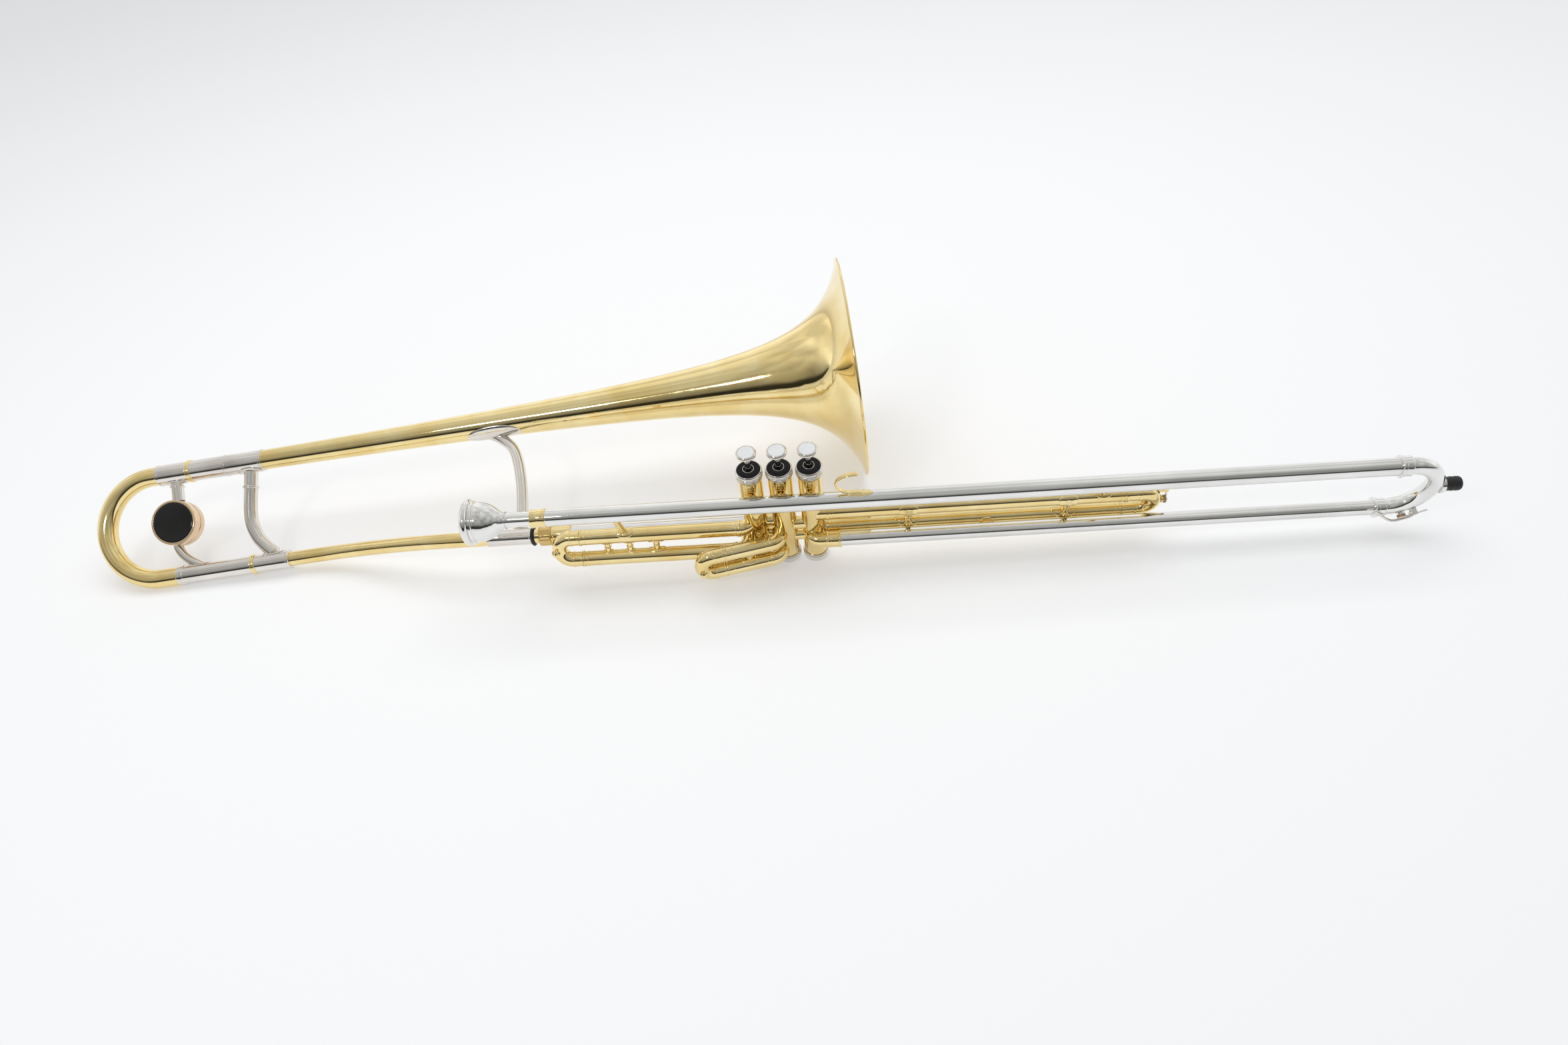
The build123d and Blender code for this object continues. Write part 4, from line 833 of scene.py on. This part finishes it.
def valve_slide_bows():
    up, low = Vector((s1_bow, *s1_up)), Vector((s1_bow, *s1_low))
    mid, r = (up + low) * 0.5, (up - low).length / 2
    turn = math.radians(s1_knob_turn)
    at = mid - X * r * math.cos(turn) + (low - mid).normalized() * r * math.sin(turn)
    pulling_bow("slide_1_crook", "slide_1", "slide_1_bow", up, low, -X, s1_out - part_gap - s1_bow,
                at, s1_knob_out)
    d2 = Vector((math.cos(math.radians(s2_yaw)), math.sin(math.radians(s2_yaw)), 0))
    up, low = [Vector((*s2_start, z)) - d2 * s2_bow for z in (s2_up_z, s2_low_z)]
    mid, r = (up + low) * 0.5, (up - low).length / 2
    turn = math.radians(s2_knob_turn)
    at = mid - d2 * r * math.cos(turn) - Z * r * math.sin(turn)
    pulling_bow("slide_2_crook", "slide_2", "slide_2_bow", up, low, -d2, s2_bow - s2_len - part_gap,
                at, s2_knob_out)


def trim():
    """Soldered plates, bands and end rings that sit on the plain tubes."""
    rs = slide_od / 2
    bm = bmesh.new()
    rings = [(-38.6, s1_up, 2.4), (-41.4, s1_up, 0.9), (-42.7, s1_low, 2.4), (-45.6, s1_low, 0.9),
             (-175.2, s1_up, 1.5), (-175.2, s1_low, 1.5), (-171.4, s1_up, 0.8), (-171.4, s1_low, 0.8),
             (37.0, s3_up, 2.6), (40.4, s3_up, 0.9), (37.0, s3_low, 2.6), (40.4, s3_low, 0.9),
             (283.2, s3_up, 1.6), (283.2, s3_low, 1.6), (279.4, s3_up, 0.8), (279.4, s3_low, 0.8)]
    for x, yz, wide in rings:
        bead(bm, (x, *yz), X, rs - 0.1, rs + (0.72 if wide > 1 else 0.35), wide, 56)
    d2 = Vector((math.cos(math.radians(s2_yaw)), math.sin(math.radians(s2_yaw)), 0))
    for z in (s2_up_z, s2_low_z):
        for along, wide in ((1.6, 2.2), (5.6, 0.9), (s2_len - 0.8, 1.7), (s2_len - 6.6, 0.9)):
            at = Vector((*s2_start, z)) - d2 * along
            bead(bm, at, d2, rs - 0.1, rs + (0.7 if wide > 1 else 0.35), wide, 56)
    for x, long, wide in s1_braces:
        up, low = Vector((x, *s1_up)), Vector((x, *s1_low))
        brace_rod(bm, up, low, X, rs, 2.5, long, wide)
    for x in s3_braces:
        up, low = Vector((x, *s3_up)), Vector((x, *s3_low))
        turns = [math.radians(a) for a in s3_brace_faces + s3_brace_ends]
        toward_up, toward_low, top_end, low_end = [Vector((0, -math.cos(a), math.sin(a))) for a in turns]
        oval_plate(bm, up, X, toward_up, rs, 16.5, 13.0, 1.0)
        oval_plate(bm, low, X, toward_low, rs, 16.5, 13.0, 1.0)
        sweep(bm, straight(up + top_end * (rs + 0.7), low + low_end * (rs + 0.7), 16),
              lambda t: 2.0 + 1.8 * abs(2 * t - 1) ** 4 + 0.5 * math.exp(-60 * (t - 0.5) ** 2), 32)
    mid = [Vector((*s2_start, z)) - d2 * s2_brace_at for z in (s2_up_z, s2_low_z)]
    brace_rod(bm, mid[0], mid[1], d2, rs, 2.5, 15.0, 11.0)
    pipe_at = Vector((stay_pipe_x, mouthpipe_y, mouthpipe_z))
    stay_at = Vector((stay_slide_x, *s1_up))
    oval_plate(bm, stay_at, X, pipe_at - stay_at, rs, 15.0, 11.0, 1.0)
    bead(bm, stay_at + (pipe_at - stay_at).normalized() * (rs + 1.6), pipe_at - stay_at, 2.9, 3.8, 1.6, 32)
    for x, a, b, r in ((171.0, s3_low, (lower_y, lower_z), lower_d / 2),
                       (265.0, s3_up, (mouthpipe_y, mouthpipe_z), mouthpipe_d / 2)):
        a, b = Vector((x, *a)), Vector((x, *b))
        oval_plate(bm, a, X, b - a, rs, 13.0, 10.0, 1.0)
        oval_plate(bm, b, X, a - b, r, 13.0, 10.0, 1.0)
    rc = casing_od / 2
    for x in (-valve_pitch, valve_pitch):
        bead(bm, (x, 0, 104.6), Z, rc - 0.05, rc + 0.45, 1.1, 80)
        post(bm, (x, -rc - 0.4, 99.0), (x, -rc - 0.4, 102.6), 0.7, 20)
        lathe(bm, eased([(0, 0), (1.5, 0), (1.5, 0.9), (0, 1.2)], 0.3), (x, -rc - 0.3, 103.2), -Y, around=24)
    for x, wide, high in ((34.9, 1.9, 1.3), (38.4, 0.9, 0.9), (46.2, 1.7, 1.4)):
        bead(bm, (x, lower_y, lower_z), X, lower_d / 2, lower_d / 2 + high, wide, 56)
    dressed(finished("brass_trim", bm), "body", finishes["lacquered_brass"])

    bm = bmesh.new()
    for y, z, d in ((mouthpipe_y, mouthpipe_z, mouthpipe_d), (lower_y, lower_z, lower_d)):
        r = max(d, crook_d) / 2
        bead(bm, (crook_x - crook_ferrule + 0.6, y, z), X, d / 2 - 0.1, r + 1.9, 1.5)
        bead(bm, (crook_x - crook_ferrule + 3.4, y, z), X, d / 2 - 0.1, r + 1.15, 0.9)
        bead(bm, (crook_x - 0.6, y, z), X, crook_d / 2 - 0.1, r + 1.1, 1.3)
    dressed(finished("silver_trim", bm), "body", finishes["silver_plate"])


# Water keys
key_nipple_h, key_pad_t, key_arm = 1.6, 1.7, 9.5
crook_key_turn, crook_touch = 22.0, (485.5, -23.4, 40.0)
low_rise, high_rise = 1.1, 4.6


def key_lever(name, body, node, centre, out, along, tube_r, rise=low_rise, touch=None):
    """Pad cup, arm, barrel and finger end of a water key; rise lifts the end, touch adds a long arm to it."""
    out = Vector(out).normalized()
    along = Vector(along)
    along = (along - out * along.dot(out)).normalized()
    side = out.cross(along)
    top = tube_r + key_nipple_h

    def at(a, o, s=0.0):
        return centre + along * a + out * o + side * s

    lid = top + key_pad_t
    bm = bmesh.new()
    lathe(bm, eased([(0, 0), (3.7, 0), (3.75, 0.5), (3.4, 1.1), (1.8, 1.5), (0, 1.6)], 0.2), at(0, lid), out,
          around=48)
    arm = curved([
        at(-0.5, lid + 1.0), at(4, lid + 0.9), at(key_arm, lid + 0.9), at(key_arm + 7.5, lid + rise)], 6)
    sweep(bm, arm, 1.8, 28, flat=0.42, up=side)
    lathe(bm, eased([(0.84, -2.0), (1.85, -2.0), (1.85, 2.0), (0.84, 2.0)], 0.25), at(key_arm, top + 1.9),
          side, around=40)
    lathe(bm, eased([(0, 0), (2.9, 0), (3.1, 0.6), (2.6, 1.3), (0, 1.1)], 0.25),
          at(key_arm + 7.6, lid + rise - 0.8), out,
          around=40)
    if touch:
        end = Vector(touch)
        reach = [at(key_arm - 1.0, lid + 1.5), at(2.0, lid + 2.2), at(-8.0, lid + 1.9).lerp(end, 0.12), end]
        sweep(bm, curved(reach, 8), lambda t: 1.25 - 0.25 * t, 24)
        lathe(bm, eased([(0, -0.7), (2.6, -0.7), (2.8, 0.1), (2.2, 0.8), (0, 0.9)], 0.25), end, out, around=40)
    dressed(finished(name, bm), body, finishes["nickel"], [node])


def key_levers():
    up, low = Vector((crook_x, mouthpipe_y, mouthpipe_z)), Vector((crook_x, lower_y, lower_z))
    mid, r = (up + low) * 0.5, (up - low).length / 2
    back = (up - low).normalized()
    a = math.radians(crook_key_turn)
    key_lever("crook_lever", "crook_key", "crook_key_lever", mid + X * r * math.sin(a) - back * r * math.cos(a),
              (0.25, -0.80, -0.55), (0.95, 0.0, 0.3), crook_d / 2, touch=crook_touch)
    up, low = Vector((s3_bow, *s3_up)), Vector((s3_bow, *s3_low))
    key_lever("slide_lever", "slide_key", "slide_key_lever", (up + low) * 0.5 + X * (up - low).length / 2,
              X, (0, 0.45, 0.89), slide_od / 2, rise=high_rise)


bell()
tuning_slide()
bell_sleeves()
neck()
mouthpiece()
receiver()
valves()
valve_springs()
hook()
bumper()
valve_slide_bows()
trim()
key_levers()


# Studio: a pale floor, a room for the metal to mirror, one broad lamp above and a small one in front
floor_half = 12.0
floor_grey = 0.80
floor_glow = 0.34
even_light = 0.46
overhead_size, overhead_watts = (2.4, 1.4), 17.0
softbox_size, softbox_watts = (0.34, 0.16), 2.2
camera_at = Vector((0.11374, -0.79197, 0.66364))
camera_turn = (48.1152, 5.6766, 0.2424)
camera_lens = 24.956


def studio_floor():
    bm = bmesh.new()
    for x, y in ((-1, -1), (1, -1), (1, 1), (-1, 1)):
        bm.verts.new((x * floor_half, y * floor_half, 0.0))
    bm.faces.new(bm.verts)
    mesh = bpy.data.meshes.new("floor")
    bm.to_mesh(mesh)
    bm.free()
    floor = bpy.data.objects.new("floor", mesh)
    bpy.context.scene.collection.objects.link(floor)
    m = Recipe("floor_white")
    m.tree.nodes.remove(m.shader)
    matte = m.tree.nodes.new("ShaderNodeBsdfDiffuse")
    matte.inputs["Color"].default_value = (floor_grey, floor_grey, floor_grey, 1)
    glow = m.tree.nodes.new("ShaderNodeEmission")
    path = m.tree.nodes.new("ShaderNodeLightPath")
    seen = m.math("MAXIMUM", path.outputs["Is Camera Ray"], path.outputs["Is Glossy Ray"])
    seen = m.math("MAXIMUM", seen, path.outputs["Is Transmission Ray"])
    m.link(m.math("MULTIPLY", seen, floor_glow), glow.inputs["Strength"])
    both = m.tree.nodes.new("ShaderNodeAddShader")
    m.link(matte.outputs[0], both.inputs[0])
    m.link(glow.outputs[0], both.inputs[1])
    m.link(both.outputs[0], m.out.inputs[0])
    mesh.materials.append(m.material)


def studio_world():
    """White to the camera, an even light on matte surfaces, and a room for the metal to mirror."""
    world = bpy.data.worlds.new("studio")
    bpy.context.scene.world = world
    world.use_nodes = True
    tree = world.node_tree
    tree.nodes.clear()
    m = Recipe.__new__(Recipe)
    m.tree = tree
    out = tree.nodes.new("ShaderNodeOutputWorld")
    coord = tree.nodes.new("ShaderNodeTexCoord").outputs["Generated"]
    m.coord = coord
    parts = tree.nodes.new("ShaderNodeSeparateXYZ")
    m.link(coord, parts.inputs[0])
    front = m.math("MULTIPLY", parts.outputs["Y"], -1.0)
    angle = m.math("ARCTAN2", parts.outputs["Z"], front)
    turn = m.math("ADD", m.math("MULTIPLY", angle, 0.5 / math.pi), 0.5)
    wobble = m.math("MULTIPLY", m.math("SUBTRACT", m.noise(2.2, 2.0), 0.5), 0.05)
    room = m.ramp(m.math("ADD", turn, wobble), [
        (0.0, (0.95, 0.95, 0.95)), (0.497, (0.95, 0.95, 0.95)), (0.503, (0.022, 0.022, 0.02)),
        (0.537, (0.04, 0.04, 0.037)), (0.565, (0.27, 0.27, 0.26)), (0.68, (0.54, 0.54, 0.525)),
        (0.77, (0.74, 0.74, 0.73)), (0.85, (0.90, 0.90, 0.89)), (1.0, (0.98, 0.98, 0.98))])
    hangings = m.spread(m.noise(2.6, 1.5, rough=0.5, distortion=0.3), 0.38, 0.62, 0.80, 1.18)
    spread_grey = tree.nodes.new("ShaderNodeCombineColor")
    for socket in spread_grey.inputs:
        m.link(hangings, socket)
    shaded = tree.nodes.new("ShaderNodeMix")
    shaded.data_type = "RGBA"
    shaded.blend_type = "MULTIPLY"
    shaded.inputs["Factor"].default_value = 1.0
    m.link(room, shaded.inputs[6])
    m.link(spread_grey.outputs[0], shaded.inputs[7])
    room = shaded.outputs[2]
    path = tree.nodes.new("ShaderNodeLightPath")
    mirrored = tree.nodes.new("ShaderNodeBackground")
    m.link(room, mirrored.inputs["Color"])
    even = tree.nodes.new("ShaderNodeBackground")
    even.inputs["Color"].default_value = (0.9, 0.92, 0.95, 1)
    even.inputs["Strength"].default_value = even_light
    white = tree.nodes.new("ShaderNodeBackground")
    white.inputs["Color"].default_value = (1, 1, 1, 1)
    first = tree.nodes.new("ShaderNodeMixShader")
    m.link(path.outputs["Is Glossy Ray"], first.inputs[0])
    m.link(even.outputs[0], first.inputs[1])
    m.link(mirrored.outputs[0], first.inputs[2])
    second = tree.nodes.new("ShaderNodeMixShader")
    seen = m.math("MAXIMUM", path.outputs["Is Camera Ray"], path.outputs["Is Transmission Ray"])
    m.link(seen, second.inputs[0])
    m.link(first.outputs[0], second.inputs[1])
    m.link(white.outputs[0], second.inputs[2])
    m.link(second.outputs[0], out.inputs[0])


def lamp(name, at, towards, size, power, mirrored=True):
    """An area lamp aimed at a point; mirrored says whether polished metal shows it."""
    light = bpy.data.lights.new(name, "AREA")
    light.shape = "RECTANGLE"
    light.size, light.size_y = size
    light.energy = power
    obj = bpy.data.objects.new(name, light)
    obj.location = at
    obj.rotation_euler = (Vector(towards) - Vector(at)).to_track_quat("-Z", "Y").to_euler()
    obj.visible_glossy = mirrored
    bpy.context.scene.collection.objects.link(obj)


def camera():
    data = bpy.data.cameras.new("camera")
    data.sensor_width = 36.0
    data.lens = camera_lens
    data.clip_start, data.clip_end = 0.01, 30.0
    obj = bpy.data.objects.new("camera", data)
    obj.location = camera_at
    obj.rotation_euler = [math.radians(a) for a in camera_turn]
    bpy.context.scene.collection.objects.link(obj)
    bpy.context.scene.camera = obj


studio_floor()
studio_world()
lamp("overhead", (0.0, 0.45, 1.9), (0.0, 0.0, 0.0), overhead_size, overhead_watts, mirrored=False)
lamp("softbox", (-0.75, -1.25, 1.45), (0.0, 0.0, 0.0), softbox_size, softbox_watts)
camera()
bpy.context.scene.view_settings.view_transform = "Standard"
